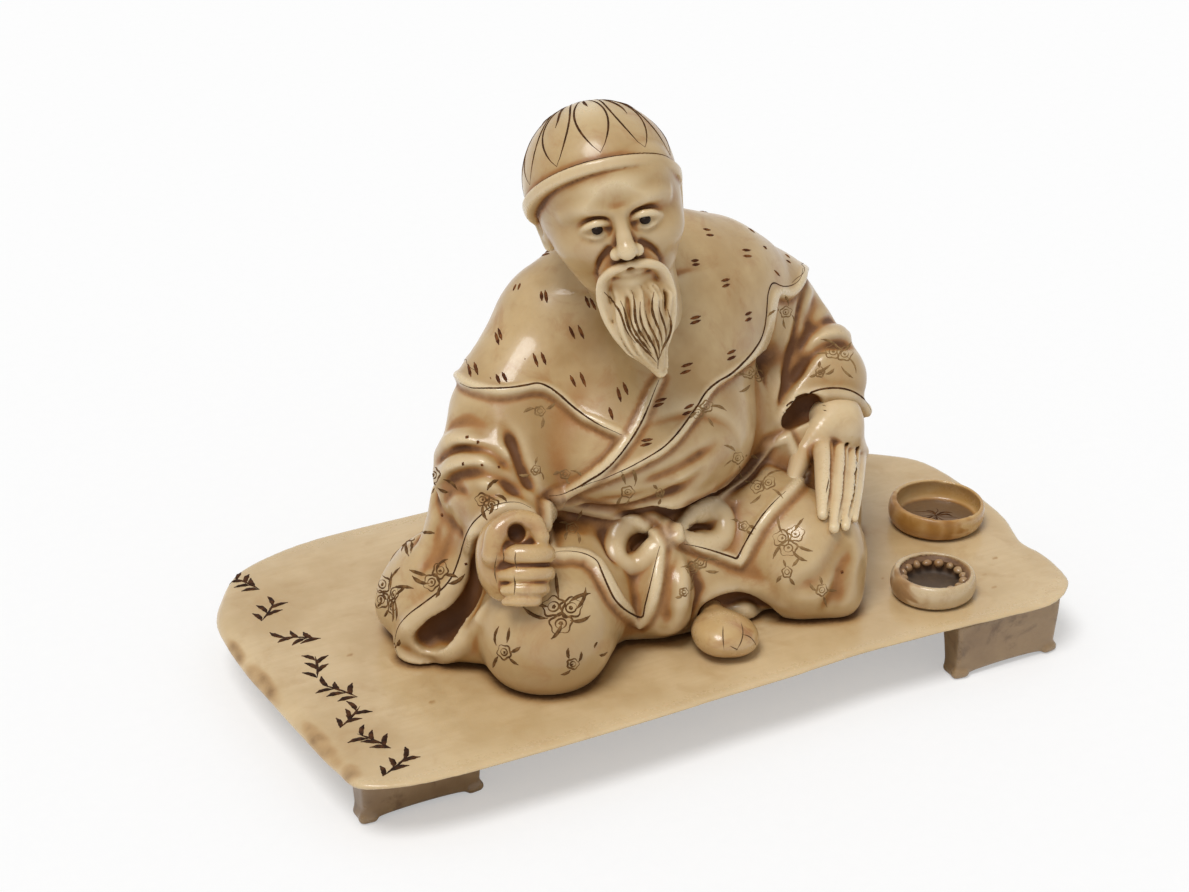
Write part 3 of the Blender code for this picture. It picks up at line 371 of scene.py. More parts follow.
class Surface:
    """Points and faces of one piece, with values at its points, before it becomes a mesh."""

    def __init__(self, clay, relax=1):
        self.p, self.faces = clay.skin()
        for _ in range(relax):
            self.relax(0.4)
        self.n = clay.slope(self.p)
        fine, broad = clay.hollowness(self.p, CREASE), clay.hollowness(self.p, HOLLOW)
        self.stain = np.clip(fine * 3.6, 0, 1) * 0.8 + np.clip(broad * 2.6, 0, 1) * 0.7
        # Ridges: lighter where worn, and lighter still as a painted highlight.
        self.polish = np.clip(-fine * 2.4, 0, 1)
        self.extra = {}

    def beside(self, values):
        """The mean of each point's neighbours."""
        a = self.faces
        ends = np.concatenate([a, np.roll(a, 1, 1)]).ravel()
        others = np.concatenate([np.roll(a, 1, 1), a]).ravel()
        n = len(self.p)
        total = np.maximum(np.bincount(ends, minlength=n), 1)
        if values.ndim == 1:
            return np.bincount(ends, values[others], n) / total
        return np.stack([np.bincount(ends, values[others, i], n) / total for i in range(values.shape[1])], 1)

    def relax(self, strength):
        self.p = self.p + (self.beside(self.p) - self.p) * strength

    def settle(self, times=2):
        """Takes the jagged steps out of cloth edges and of their dirt, painted shadow and painted highlight.
        """
        for _ in range(times):
            self.relax(0.5)
            self.stain = (self.stain + self.beside(self.stain)) / 2
            self.polish = (self.polish + self.beside(self.polish)) / 2
        self.n = self.normals()

    def normals(self):
        a, b, c, d = (self.p[self.faces[:, i]] for i in range(4))
        f = np.cross(c - a, d - b)
        n = len(self.p)
        total = [sum(np.bincount(self.faces[:, k], f[:, i], n) for k in range(4)) for i in range(3)]
        return unit(np.stack(total, 1) + 1e-12)

    def look(self):
        """Notes which points the photograph's camera sees, and at which pixels."""
        self.px, depth = eye.pixels(self.p)
        cell = (self.px // 3).astype(int)
        cell -= cell.min(0)
        nearest = np.full(cell.max(0) + 1, BEYOND)
        np.minimum.at(nearest, tuple(cell.T), depth)
        self.seen = ease(-0.12, 0.06, -(self.n @ eye.ahead)) * (depth < nearest[tuple(cell.T)] + 4.0)

    def inside_of(self, outline):
        """Distance inside a closed outline of pixels, in millimetres across the picture."""
        o = np.asarray(outline, float)
        near = ((self.px > o.min(0) - 14) & (self.px < o.max(0) + 14)).all(1)
        q = self.px[near]
        best, odd = np.full(len(q), BEYOND), np.zeros(len(q), bool)
        for a, b in zip(o, np.roll(o, -1, 0)):
            ab = b - a
            t = np.clip(((q - a) @ ab) / max(ab @ ab, TINY), 0, 1)
            best = np.minimum(best, np.linalg.norm(q - a - t[:, None] * ab, axis=1))
            if a[1] != b[1]:
                crossing = (b[0] - a[0]) * (q[:, 1] - a[1]) / (b[1] - a[1]) + a[0]
                odd ^= ((a[1] > q[:, 1]) != (b[1] > q[:, 1])) & (q[:, 0] < crossing)
        out = np.full(len(self.p), -99.0)
        out[near] = np.where(odd, best, -best) / PIXELS_PER_MM
        return out

    def panel(self, depth, lift, band=1.6, rim=0.3, who=1.0):
        """Lifts a layer of cloth: depth is how far inside its edge a point lies."""
        rise = lift * ease(-0.15, 0.55, depth)
        rise += rim * ease(0.0, 0.5, depth) * (1 - ease(band, band + 0.5, depth))
        self.p = self.p + self.n * (rise * who)[:, None]
        # Painted shadow on the cloth just outside a raised layer's edge, kept in the same mark as the dirt
        # in hollows.
        under = np.exp(-((np.minimum(depth, 0) + 0.3) / 0.6) ** 2) * (depth < 0.1)
        self.stain = np.maximum(self.stain, 0.7 * under * who)
        # Along the band inside the edge: less dirt and painted shadow, and more wear with a painted
        # highlight.
        on_band = ease(0.1, 0.5, depth) * (1 - ease(band, band + 0.4, depth)) * who
        self.stain = self.stain * (1 - 0.7 * on_band)
        self.polish = np.maximum(self.polish, on_band)


def mesh_object(name, points, faces, values=None):
    mesh = bpy.data.meshes.new(name)
    mesh.vertices.add(len(points))
    mesh.vertices.foreach_set("co", (np.asarray(points) * MM).astype(np.float32).ravel())
    faces = np.asarray(faces, np.int32)
    mesh.loops.add(faces.size)
    mesh.loops.foreach_set("vertex_index", faces.ravel())
    mesh.polygons.add(len(faces))
    mesh.polygons.foreach_set("loop_start", np.arange(0, faces.size, faces.shape[1], dtype=np.int32))
    mesh.update(calc_edges=True)
    for key, v in (values or {}).items():
        mesh.attributes.new(key, "FLOAT", "POINT").data.foreach_set("value", np.asarray(v, np.float32))
    mesh.shade_smooth()
    thing = bpy.data.objects.new(name, mesh)
    bpy.context.scene.collection.objects.link(thing)
    return thing


def settled(thing):
    """Replaces an object's mesh by what its modifiers make of it."""
    shown = thing.evaluated_get(bpy.context.evaluated_depsgraph_get())
    made = bpy.data.meshes.new_from_object(shown)
    thing.modifiers.clear()
    old, thing.data = thing.data, made
    made.name = thing.name
    if old.users == 0:
        bpy.data.meshes.remove(old)
    return thing


def piece(name, surface, finish, slot, *nodes):
    """Makes a carved surface one piece of the model."""
    thing = mesh_object(name, surface.p, surface.faces,
                        {"stain": np.clip(surface.stain, 0, 1), "polish": surface.polish, **surface.extra})
    triangles = 2 * len(surface.faces)
    if triangles > MOST_TRIANGLES:
        m = thing.modifiers.new("fewer faces", "DECIMATE")
        m.ratio = MOST_TRIANGLES / triangles
        settled(thing)
        thing.data.shade_smooth()
    return dress(thing, finish, slot, *nodes)


def dress(thing, finish, slot, *nodes):
    thing.data.materials.clear()
    thing.data.materials.append(finish)
    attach(thing, "root")
    if nodes:
        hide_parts(*nodes)
    return thing


def plane_point(pixel, axis, value):
    """The place at a pixel that has the given coordinate."""
    start, heading = eye.rays([pixel])
    t = (value - start[0, axis]) / heading[0, axis]
    return start[0] + heading[0] * t


# The robe's masses, each with how softly it joins those before it, in millimetres.
TRUNK = [
    (egg((0, 3, 44), (24, 19, 27)), 0),
    (egg((5, 9, 58), (26.5, 16.5, 17.5), turn((0, 1, 0), -12)), 6),
    (egg((-3, -6, 43), (21, 15, 14)), 5),
    (egg((0, 10, 24), (34, 21, 14)), 6),
]
CROSSED_LEGS = [
    (limb([(-6, 0, 22), (-20, -12, 21), (-29.5, -21.5, 20.5)], [13, 12, 12]), 4),
    (limb([(7, 0, 23), (17, -10, 22), (22.5, -20.5, 20.5)], [13, 12, 12]), 4),
    (egg((0, -12, 18), (20, 12, 12)), 4),
]
# From the shoulder to its hanging bag.
RIGHT_SLEEVE = [
    (limb([(-14, 6, 61), (-25, 1, 50.5), (-29.5, -4, 43)], [9, 10.3, 10]), 5),
    (limb([(-28.5, -3, 43), (-33, -13.5, 38)], [8.8, 6.9]), 4),
    (limb([(-31, -1, 38), (-37, -3, 24), (-39, -4, 20)], [8.5, 8, 7.5]), 5),
    (egg((-39, -1, 20.5), (10.5, 12, 10)), 4),
    (limb([(-38, -12, 17.5), (-44, -6, 17.5), (-44.5, 3, 18)], [5.5, 6, 6]), 3),
]
COLLAR = [(limb([(-11.5, 6, 65.5), (-4, 4, 70.5), (8, 8, 69)], [8, 9.3, 9]), 5)]
# With its hem that hangs behind the hand.
LEFT_SLEEVE = [
    (limb([(13.5, 7, 66), (20, 9, 63.5), (25.5, 10.7, 60), (33, 12.5, 53.5)], [10, 10.3, 10.3, 9.8]), 4),
    (limb([(33, 12.5, 53.5), (38, 8.5, 47.5), (40, 2.5, 42.5)], [9.8, 9.2, 8.8]), 4),
    (limb([(41, 1, 40), (42.5, -2, 30), (43, -3, 8)], [6, 4.2, 3.6]), 4),
    (egg((27, 2, 36), (13, 9, 12)), 4),
    (egg((34, -4, 29), (9, 8, 10)), 4),
]

# Folds of the robe as the photograph shows them: radius, height, softness, then the pixels along each.
ROBE_FOLDS = [
    (3.0, 1.3, 1.6, [(436, 452), (448, 443), (462, 438), (476, 441), (490, 450), (502, 461), (512, 473)]),
    (1.4, -1.8, 0.8, [(434, 463), (446, 456), (458, 453), (470, 453), (482, 455), (494, 460), (505, 468),
                      (514, 478), (521, 488), (527, 497)]),
    (2.6, 1.3, 1.4, [(436, 480), (447, 471), (460, 465), (474, 464), (488, 468), (500, 474), (511, 483),
                     (519, 493)]),
    (1.3, -1.5, 0.8, [(436, 493), (445, 484), (455, 478), (468, 474), (482, 473), (495, 476), (506, 482),
                      (516, 491), (524, 501)]),
    (2.2, -0.8, 2.0, [(450, 425), (463, 422), (476, 428), (487, 438), (497, 448), (506, 459)]),
    (1.2, -1.5, 0.8, [(503, 426), (510, 438), (516, 449), (520, 460), (525, 472), (531, 484), (538, 493)]),
    (1.0, -0.7, 1.0, [(441, 508), (444, 499), (451, 492), (460, 490), (468, 494)]),
    (1.6, -0.6, 1.6, [(437, 515), (436, 535), (430, 556), (420, 575)]),
    (1.4, -0.5, 1.4, [(449, 512), (448, 532), (443, 552), (436, 570)]),
    # Under the belly.
    (1.7, -1.5, 1.2, [(556, 501), (572, 507), (590, 511), (610, 513), (630, 511), (650, 505), (668, 497),
                      (684, 488), (702, 472)]),
    (1.8, 0.7, 1.2, [(562, 508), (580, 514), (600, 518), (622, 519), (645, 515), (668, 508), (690, 499),
                     (712, 487)]),
    (1.0, -0.6, 1.0, [(590, 500), (612, 500), (634, 497), (655, 491), (672, 483)]),
    (1.9, -2.4, 1.0, [(541, 497), (556, 507), (572, 514), (592, 520), (612, 523), (632, 523), (655, 518),
                      (676, 513), (697, 507), (715, 499), (733, 488), (748, 477), (760, 463), (770, 447),
                      (779, 429)]),
    (1.2, -0.8, 1.2, [(640, 485), (665, 476), (690, 463), (715, 445)]),
    # Left armpit and sleeve.
    (1.1, -1.3, 0.9, [(819, 289), (813, 305), (808, 322), (803, 340), (797, 360), (790, 382), (783, 404),
                      (779, 424)]),
    (1.0, -1.0, 0.9, [(805, 284), (802, 305), (798, 328), (792, 352), (786, 378), (780, 402)]),
    (1.2, 0.6, 1.0, [(811, 290), (806, 312), (801, 335), (795, 358), (788, 382)]),
    (1.5, -1.0, 1.2, [(843, 319), (838, 319), (826, 323), (815, 332), (806, 344), (800, 355)]),
    (2.4, 0.7, 1.4, [(850, 332), (842, 331), (834, 331), (821, 337), (810, 348), (802, 360)]),
    (1.3, -1.3, 0.9, [(855, 348), (848, 344), (838, 343), (825, 345), (813, 352), (803, 362), (796, 375),
                      (790, 390)]),
    (1.6, -0.7, 1.4, [(828, 296), (820, 306), (813, 318), (807, 330)]),
    # Lap, hem and left knee.
    (1.5, -0.9, 1.2, [(677, 560), (672, 578), (669, 596), (668, 614), (664, 630)]),
    (1.3, -0.8, 1.0, [(690, 563), (697, 578), (701, 592), (697, 607), (691, 622)]),
    (1.6, 0.6, 1.2, [(683, 566), (684, 582), (684, 598), (680, 614)]),
    (2.2, -0.9, 2.0, [(845, 535), (840, 553), (830, 570), (815, 583), (797, 590)]),
    (1.4, -0.9, 1.2, [(851, 548), (849, 568), (843, 588), (836, 606)]),
    (1.2, -0.7, 1.0, [(842, 560), (838, 578), (831, 596), (822, 610)]),
    (1.5, -0.9, 1.2, [(612, 566), (604, 546), (600, 530)]),
    (2.0, 0.7, 1.6, [(705, 596), (722, 590), (742, 588), (762, 592), (780, 603)]),
    (1.0, -0.9, 0.7, [(618, 640), (632, 646), (648, 646), (668, 640), (690, 637)]),
]

SKIRT_CORNER, SKIRT_CORNER_HEIGHT, SKIRT_CORNER_RADII = (838, 594), 15.3, (3.4, 4.4, 3.6)
LAP_CLOTH = [(662, 560), (664, 588), (666, 610)]
FOOT_ARCH = [(698, 628), (706, 614), (720, 605), (736, 602), (752, 604), (768, 612), (782, 622), (794, 634)]
FOOT_ARCH_RADII = [1.2, 1.8, 2.2, 2.4, 2.4, 2.0, 1.5, 1.0]
FOOT_ROLL = [(728, 609), (744, 609), (759, 615), (773, 625), (786, 637)]
SLEEVE_LIP = [(534, 530), (530, 515), (517, 507), (503, 507), (491, 513), (481, 523), (473, 535),
              (468, 549), (464, 563), (458, 577), (449, 589), (438, 599), (426, 608), (414, 618),
              (405, 629), (400, 642), (403, 655), (412, 664), (424, 667), (438, 663), (451, 654),
              (462, 644), (471, 632), (479, 619), (485, 607)]
SLEEVE_LIP_RADII = [1.5, 1.7, 1.7, 1.8, 1.9, 2.0, 2.0, 1.8, 1.5]
SLEEVE_HOLLOW = [(480, 540), (477, 560), (476, 580), (470, 597), (460, 611), (449, 623), (438, 633),
                 (427, 642)]
SLEEVE_HOLLOW_RADII = [1.0, 1.1, 1.3, 1.8, 2.5, 3.1, 3.2, 2.6]
SLEEVE_HOLLOW_HEIGHTS = [-0.7, -0.9, -1.4, -2.8, -4.8, -5.8, -5.4, -3.6]
LEFT_CUFF = [(779, 421), (787, 411), (798, 403), (811, 397), (825, 393), (839, 393), (852, 396), (863, 403),
             (871, 414)]
CUFF_HOLLOW = [(786, 425), (796, 416), (807, 409), (818, 405)]
SASH_LOOPS = [
    [(662, 524), (650, 518), (636, 520), (622, 528), (615, 541), (614, 554), (621, 564), (633, 566),
     (645, 560), (653, 549), (660, 538)],
    [(676, 532), (684, 521), (696, 513), (710, 510), (722, 516), (725, 528), (720, 540), (708, 545),
     (694, 543), (683, 538)],
]
SASH_HOLLOWS = [
    [(655, 532), (645, 538), (635, 546), (630, 553)],
    [(682, 531), (694, 527), (706, 527), (714, 531)],
]
SASH_KNOT = [(664, 524), (667, 534), (668, 546)]


def robe(step):
    c = Clay((-57, -37, 8), (54, 35, 85), step)
    c.add(TRUNK + CROSSED_LEGS + RIGHT_SLEEVE + COLLAR + LEFT_SLEEVE)
    # Lap cloth between the knees, drawn up in an arch over the bare foot.
    c.join(rope(c.seen_at(LAP_CLOTH), [3.5, 4.5, 4.2]), 4)
    c.join(egg(plane_point(SKIRT_CORNER, 2, SKIRT_CORNER_HEIGHT), SKIRT_CORNER_RADII), 4)
    for radius, height, soft, path in ROBE_FOLDS:
        c.carve(c.seen_at(path), radius, height, soft)
    c.carve(c.seen_at(FOOT_ARCH), FOOT_ARCH_RADII, -1.6, 0.5, taper=0.2)
    c.carve(c.seen_at(FOOT_ROLL), [1.5, 1.9, 2.1, 2.3, 2.4], 2.5, 0.6)
    # Mouth of the right sleeve: a rolled lip round a deep hollow.
    c.carve(c.seen_at(SLEEVE_LIP), SLEEVE_LIP_RADII, 0.9, 0.9, taper=0.06)
    c.carve(c.seen_at(SLEEVE_HOLLOW), SLEEVE_HOLLOW_RADII, SLEEVE_HOLLOW_HEIGHTS, 0.5, taper=0.0)
    # Left cuff round the wrist.
    c.carve(c.seen_at(LEFT_CUFF), 1.3, 0.7, 0.8, taper=0.06)
    c.carve(c.seen_at(CUFF_HOLLOW), [1.6, 2.4, 2.8, 2.4], [-2.0, -3.6, -4.2, -3.0], 0.5)
    # Sash: two loops and a knot.
    for loop in SASH_LOOPS:
        ring = c.seen_at(loop)
        c.carve(np.vstack([ring, ring[:1]]), 1.45, 1.1, 0.5, taper=0.0)
    for inner in SASH_HOLLOWS:
        c.carve(c.seen_at(inner), [0.9, 1.5, 1.3, 0.8], -1.5, 0.5)
    c.carve(c.seen_at(SASH_KNOT), [1.7, 2.2, 1.7], 1.9, 0.6)
    for side, radius, height, soft, path in HIDDEN_FOLDS:
        c.carve(c.from_side(side, path), radius, height, soft)
    c.keep(above_seat)
    return c


def above_seat(x, y, z):
    return SEAT - z + 0 * x + 0 * y


# Folds on the sides that the photograph doesn't show: side, radius, height, softness and two coordinates
# in millimetres.
HIDDEN_FOLDS = [
    ("back", 2.4, -1.2, 2.2, [(-14, 40), (-16, 33), (-19, 25), (-21, 17)]),
    ("back", 2.6, -1.3, 2.4, [(-4, 38), (-4, 31), (-6, 23), (-7, 16)]),
    ("back", 2.4, -1.2, 2.2, [(7, 37), (8, 30), (7, 22), (9, 15)]),
    ("back", 2.4, -1.3, 2.2, [(17, 39), (20, 32), (22, 24), (25, 16)]),
    ("back", 2.4, 0.8, 2.0, [(-10, 38), (-11, 30), (-13, 22), (-14, 14)]),
    ("back", 2.4, 0.8, 2.0, [(2, 37), (2, 30), (1, 22), (1, 14)]),
    ("back", 2.4, 0.8, 2.0, [(13, 38), (14, 30), (15, 22), (17, 14)]),
    ("back", 1.4, -1.3, 1.0, [(-24, 47), (-27, 40), (-29, 32), (-30, 24), (-31, 16)]),
    ("back", 1.4, -1.2, 1.0, [(31, 48), (33, 41), (34, 33), (34, 25), (33, 16)]),
    ("back", 1.6, -0.9, 1.4, [(-30, 50), (-34, 45), (-37, 38)]),
    ("back", 1.6, -0.9, 1.4, [(-32, 42), (-37, 36), (-41, 29)]),
    ("back", 1.6, -0.9, 1.4, [(35, 50), (39, 46), (42, 41)]),
    ("right", 1.6, -1.0, 1.4, [(14, 52), (8, 46), (1, 42), (-5, 40)]),
    ("right", 1.6, -1.0, 1.4, [(15, 44), (8, 38), (2, 35)]),
    ("right", 1.5, -1.1, 1.2, [(14, 36), (9, 28), (6, 20)]),
    ("right", 2.0, -1.0, 1.8, [(4, 34), (1, 26), (-1, 18)]),
    ("right", 2.0, -1.0, 1.8, [(20, 30), (19, 22), (19, 15)]),
    ("left", 1.6, -1.0, 1.4, [(12, 50), (6, 43), (-2, 38), (-9, 36)]),
    ("left", 1.6, -1.0, 1.4, [(14, 40), (9, 34), (1, 30)]),
    ("left", 1.8, -1.0, 1.6, [(12, 32), (8, 24), (5, 17)]),
    ("left", 1.6, -0.8, 1.4, [(18, 34), (16, 26), (15, 17)]),
]

# Edges of the raised layers, in pixels. Where an edge leaves the figure the outline runs on outside it.
CAPE = [(430, 383), (457, 382), (464, 389), (475, 394), (490, 398), (505, 399), (520, 396), (530, 393),
        (542, 393), (552, 398), (562, 406), (572, 415), (582, 423), (592, 427), (604, 433), (617, 439),
        (611, 450), (602, 460), (591, 470), (580, 478), (567, 485), (553, 490), (544, 497), (556, 500),
        (570, 496), (583, 491), (600, 484), (618, 477), (636, 469), (655, 460), (667, 452), (677, 443),
        (687, 431), (697, 417), (704, 405), (709, 396), (716, 388), (728, 380), (740, 370), (750, 361),
        (760, 350), (766, 338), (770, 325), (772, 314), (773, 305), (775, 298), (783, 300), (790, 299),
        (797, 294), (802, 286), (805, 277), (815, 268), (830, 200), (700, 150), (540, 150), (430, 280)]
LAPEL = [(656, 376), (648, 388), (642, 402), (636, 416), (630, 428), (622, 440), (612, 451), (602, 461),
         (591, 470), (580, 478), (567, 485), (553, 490), (544, 497), (556, 499), (570, 494), (583, 488),
         (594, 482), (605, 473), (615, 464), (625, 453), (634, 441), (642, 427), (649, 411), (655, 396),
         (662, 380)]
LEFT_FLAP = [(546, 563), (560, 563), (572, 562), (583, 564), (591, 570), (597, 580), (603, 592), (610, 604),
             (620, 615), (632, 625), (642, 628), (650, 622), (656, 611), (660, 597), (663, 580), (665, 562),
             (667, 545), (660, 530), (640, 515), (600, 505), (560, 495), (540, 500)]
RIGHT_FLAP = [(672, 541), (686, 549), (700, 555), (715, 560), (730, 566), (741, 569), (749, 560),
              (756, 546), (764, 532), (773, 520), (783, 509), (793, 499), (804, 488), (810, 470),
              (790, 430), (765, 440), (745, 470), (715, 495), (690, 505), (672, 525)]
BAND = {"cape": 1.5, "lapel": 0.9, "flap": 1.6}

# Dark lines cut into the ivory, in pixels.
RIM_LINES = [
    [(460, 383), (466, 386), (474, 388), (487, 388), (500, 388), (513, 387), (526, 385), (538, 383),
     (549, 387), (560, 395), (570, 404), (580, 412), (590, 419), (600, 425), (611, 430), (622, 435)],
    [(659, 380), (654, 392), (649, 405), (643, 419), (636, 432), (628, 444), (619, 456), (610, 466),
     (600, 474), (590, 480), (580, 486), (570, 491), (560, 495), (549, 496)],
    [(581, 487), (590, 483), (603, 479), (617, 473), (630, 467), (643, 460), (655, 453), (665, 446),
     (675, 436), (683, 426), (691, 415), (698, 405), (704, 395), (710, 388), (719, 381), (731, 374),
     (742, 364), (752, 353), (760, 341), (764, 330), (766, 318), (767, 306), (768, 294), (771, 285),
     (775, 283), (782, 286), (789, 286), (796, 283), (801, 277), (803, 268)],
    [(547, 556), (556, 552), (567, 551), (578, 552), (588, 555), (597, 561), (602, 572), (608, 586),
     (614, 598), (622, 607), (632, 614), (642, 617), (645, 606), (649, 590), (653, 573), (657, 556),
     (660, 546)],
    [(684, 544), (695, 546), (707, 549), (720, 553), (732, 557), (737, 558), (742, 549), (749, 536),
     (757, 523), (765, 512), (775, 501), (786, 491)],
    [(531, 508), (521, 503), (510, 502), (499, 504), (489, 508), (481, 515), (473, 523), (467, 533),
     (463, 544), (460, 555), (456, 567), (451, 578), (443, 588), (433, 596), (421, 605), (409, 614),
     (400, 624), (396, 634), (395, 645), (398, 655), (404, 664)],
    [(786, 406), (795, 400), (806, 395), (818, 390), (832, 388), (845, 389), (856, 393), (865, 400),
     (871, 410)],
]

# Short cuts in pairs over the cape, in pixels.
LEFT_DASHES = [((513, 291), (516, 284)), ((518, 290), (520, 283)), ((541, 291), (542, 301)),
               ((545, 290), (547, 303)), ((585, 296), (590, 308)), ((590, 298), (596, 310)),
               ((495, 332), (499, 345)), ((498, 328), (502, 340)), ((569, 326), (575, 339)),
               ((578, 325), (584, 339)), ((533, 353), (538, 367)), ((541, 352), (546, 365)),
               ((468, 364), (471, 377)), ((474, 362), (478, 375)), ((496, 374), (500, 384)),
               ((502, 372), (507, 382)), ((570, 375), (576, 387)), ((580, 372), (586, 387)),
               ((617, 387), (621, 402)), ((623, 382), (628, 395)), ((619, 337), (623, 349)),
               ((609, 407), (613, 420)), ((525, 358), (525, 360)), ((490, 377), (491, 379))]
RIGHT_DASHES = [((703, 229), (711, 230)), ((706, 235), (714, 235)), ((748, 228), (755, 233)),
                ((742, 250), (751, 250)), ((743, 256), (752, 256)), ((763, 246), (767, 249)),
                ((785, 254), (790, 258)), ((786, 260), (791, 263)), ((774, 270), (780, 276)),
                ((691, 261), (699, 260)), ((692, 265), (700, 264)), ((721, 281), (730, 279)),
                ((722, 287), (730, 284)), ((690, 319), (701, 316)), ((690, 324), (701, 320)),
                ((745, 315), (752, 312)), ((745, 321), (752, 318)), ((727, 354), (736, 350)),
                ((727, 360), (736, 356)), ((681, 367), (693, 363)), ((680, 374), (691, 370)),
                ((655, 402), (667, 398)), ((653, 407), (664, 403)), ((684, 409), (694, 404)),
                ((682, 415), (692, 411)), ((641, 441), (653, 439)), ((640, 446), (652, 443))]

HEM_ANGLES = [-30, 5, 40, 90, 140, 178, 215]
HEM_HEIGHTS = [61, 61, 52, 45, 49, 58, 60]
HEM_WAVE, HEM_WAVES = 1.8, 9


def hem_height(angle):
    """Height of the cape's hem round the parts of the figure that the photograph doesn't show."""
    along = np.interp(angle, HEM_ANGLES, HEM_HEIGHTS)
    wave = HEM_WAVE * np.cos(np.radians(angle * HEM_WAVES + 40))
    return along + wave * ease(0, 25, angle) * (1 - ease(155, 180, angle))


def robe_surface(step):
    clay = robe(step)
    s = Surface(clay, relax=2)
    s.look()
    x, y, z = s.p.T
    angle = np.degrees(np.arctan2(y - 6, x - 3))
    angle = np.where(angle < -120, angle + 360, angle)
    behind = (z - hem_height(angle)) * 0.9
    hidden = 1 - s.seen
    s.panel(s.inside_of(CAPE), 1.2, BAND["cape"], 0.4, s.seen)
    s.panel(np.where(angle > -40, behind, -9), 1.2, BAND["cape"], 0.25, hidden)
    s.n = s.normals()
    s.panel(s.inside_of(LAPEL), 0.45, BAND["lapel"], 0.1, s.seen)
    s.panel(s.inside_of(LEFT_FLAP), 0.9, BAND["flap"], 0.4, s.seen)
    s.panel(s.inside_of(RIGHT_FLAP), 0.9, BAND["flap"], 0.4, s.seen)
    s.settle()
    return clay, s


# The head is modelled upright in its own frame, with the middle between the eyes at the origin, and then
# leans.
HEAD_LEAN = turn((0, 0, 1), -21) @ turn((0, 1, 0), -10)
EYE_FRONT = -12.35           # how far in front of the head's origin the eyeballs reach
INLAYS = [np.mean(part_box(node), axis=0) / MM for node in ("eye_inlay_left", "eye_inlay_right")]
HEAD_PLACE = np.mean(INLAYS, axis=0) - HEAD_LEAN @ np.array([0, EYE_FRONT, 0])
EYE_SIDE = 4.0               # from the middle of the face to an eye
CAP_MIDDLE, CAP_RADII = (-1.3, 0.9, 3.2), (12.9, 14.2, 13.2)
CAP_RIM = np.array([0, 0.66, 0.751])    # the rim's plane faces this way
CAP_RIM_AT = -0.6
CAP_RIM_WIDTH = 2.0
CAP_RIM_RISE = 0.9
CAP_LEAVES = 11

SKULL = [
    (egg((-0.7, 0.8, 2.6), (12.1, 13.1, 12.0)), 0),
    (egg((0, -3.0, -4.5), (10.3, 9.2, 11.0)), 5),
    (egg((0, -5.4, -10.6), (6.4, 5.2, 4.3)), 4),
    (egg((0, -5.6, 6.2), (9.2, 6.4, 5.6)), 4),
]
NECK = [(limb([(0, 2, -4), (0.8, 6, -14), (1.5, 8.7, -30)], [8, 8, 8]), 4)]
# For the side where x grows.
BROW, BROW_RADII = [(8.2, -8.7, 2.4), (6.2, -10.4, 3.5), (3.6, -11.6, 3.5),
                    (1.4, -12.0, 2.6)], [0.9, 1.25, 1.3, 1.0]
CHEEK_LINE = [(2.8, -12.6, -3.6), (4.4, -11.6, -5.6), (5.2, -10.8, -8.4)]
# Round the middle of an eye.
UPPER_LID = [(-2.7, -10.9, -0.2), (-1.4, -12.0, 0.8), (0, -12.35, 1.1), (1.4, -12.0, 0.8),
             (2.7, -10.9, -0.3)]
UPPER_LID_RADII = [0.45, 0.62, 0.68, 0.62, 0.45]
LOWER_LID = [(-2.5, -11.0, -0.5), (-1.2, -11.8, -1.05), (0, -12.05, -1.25), (1.3, -11.8, -1.1),
             (2.6, -10.8, -0.6)]
LOWER_LID_RADII = [0.4, 0.5, 0.55, 0.5, 0.4]
NOSE = [
    (limb([(0, -11.7, 2.2), (0, -12.9, -0.8), (0, -14.2, -3.3)], [1.05, 1.2, 1.5]), 1.5),
    (egg((0, -14.7, -3.9), (1.6, 1.6, 1.4)), 0.8),
]
UPPER_LIP = [(-3.0, -12.3, -8.5), (-1.2, -13.5, -8.0), (0, -13.5, -8.2), (1.2, -13.5, -8.0),
             (3.0, -12.3, -8.5)]
MOUTH = [
    (egg((0, -11.4, -8.6), (4.6, 2.3, 3.0)), 2.0),
    (rope(UPPER_LIP, [0.4, 0.65, 0.6, 0.65, 0.4]), 0.5),
    (rope([(-2.5, -12.4, -9.3), (0, -13.4, -9.5), (2.5, -12.4, -9.3)], [0.5, 0.8, 0.5]), 0.5),
]
MOUTH_LINE = [(-3.1, -13.0, -8.75), (-1.2, -14.1, -8.7), (0, -14.2, -8.8), (1.2, -14.1, -8.7),
              (3.1, -13.0, -8.75)]


def mirrored(side, path):
    return [(side * x, y, z) for x, y, z in path]


def eye_and_brow(c, side):
    c.join(egg((side * 6.2, -7.3, -3.8), (3.9, 3.8, 3.3)), 3)
    c.join(rope(mirrored(side, BROW), BROW_RADII), 1.6)
    c.join(egg((side * EYE_SIDE, -12.9, 0.3), (3.1, 2.2, 1.9)), 1.6, cut=True)
    c.join(egg((side * EYE_SIDE, -10.3, 0), (2.6, 1.95, 1.9)), 0.5)
    for lid, radii, soft in ((UPPER_LID, UPPER_LID_RADII, 0.35), (LOWER_LID, LOWER_LID_RADII, 0.5)):
        c.join(rope([(side * (EYE_SIDE + x), y, z) for x, y, z in lid], radii), soft)


def nostril(c, side):
    c.join(egg((side * 1.8, -13.5, -4.4), (1.1, 1.3, 1.1)), 0.6)
    c.join(egg((side * 0.95, -14.4, -5.3), (0.5, 0.8, 0.5)), 0.3, cut=True)
    c.join(rope(mirrored(side, CHEEK_LINE), 0.35), 1.0, cut=True)


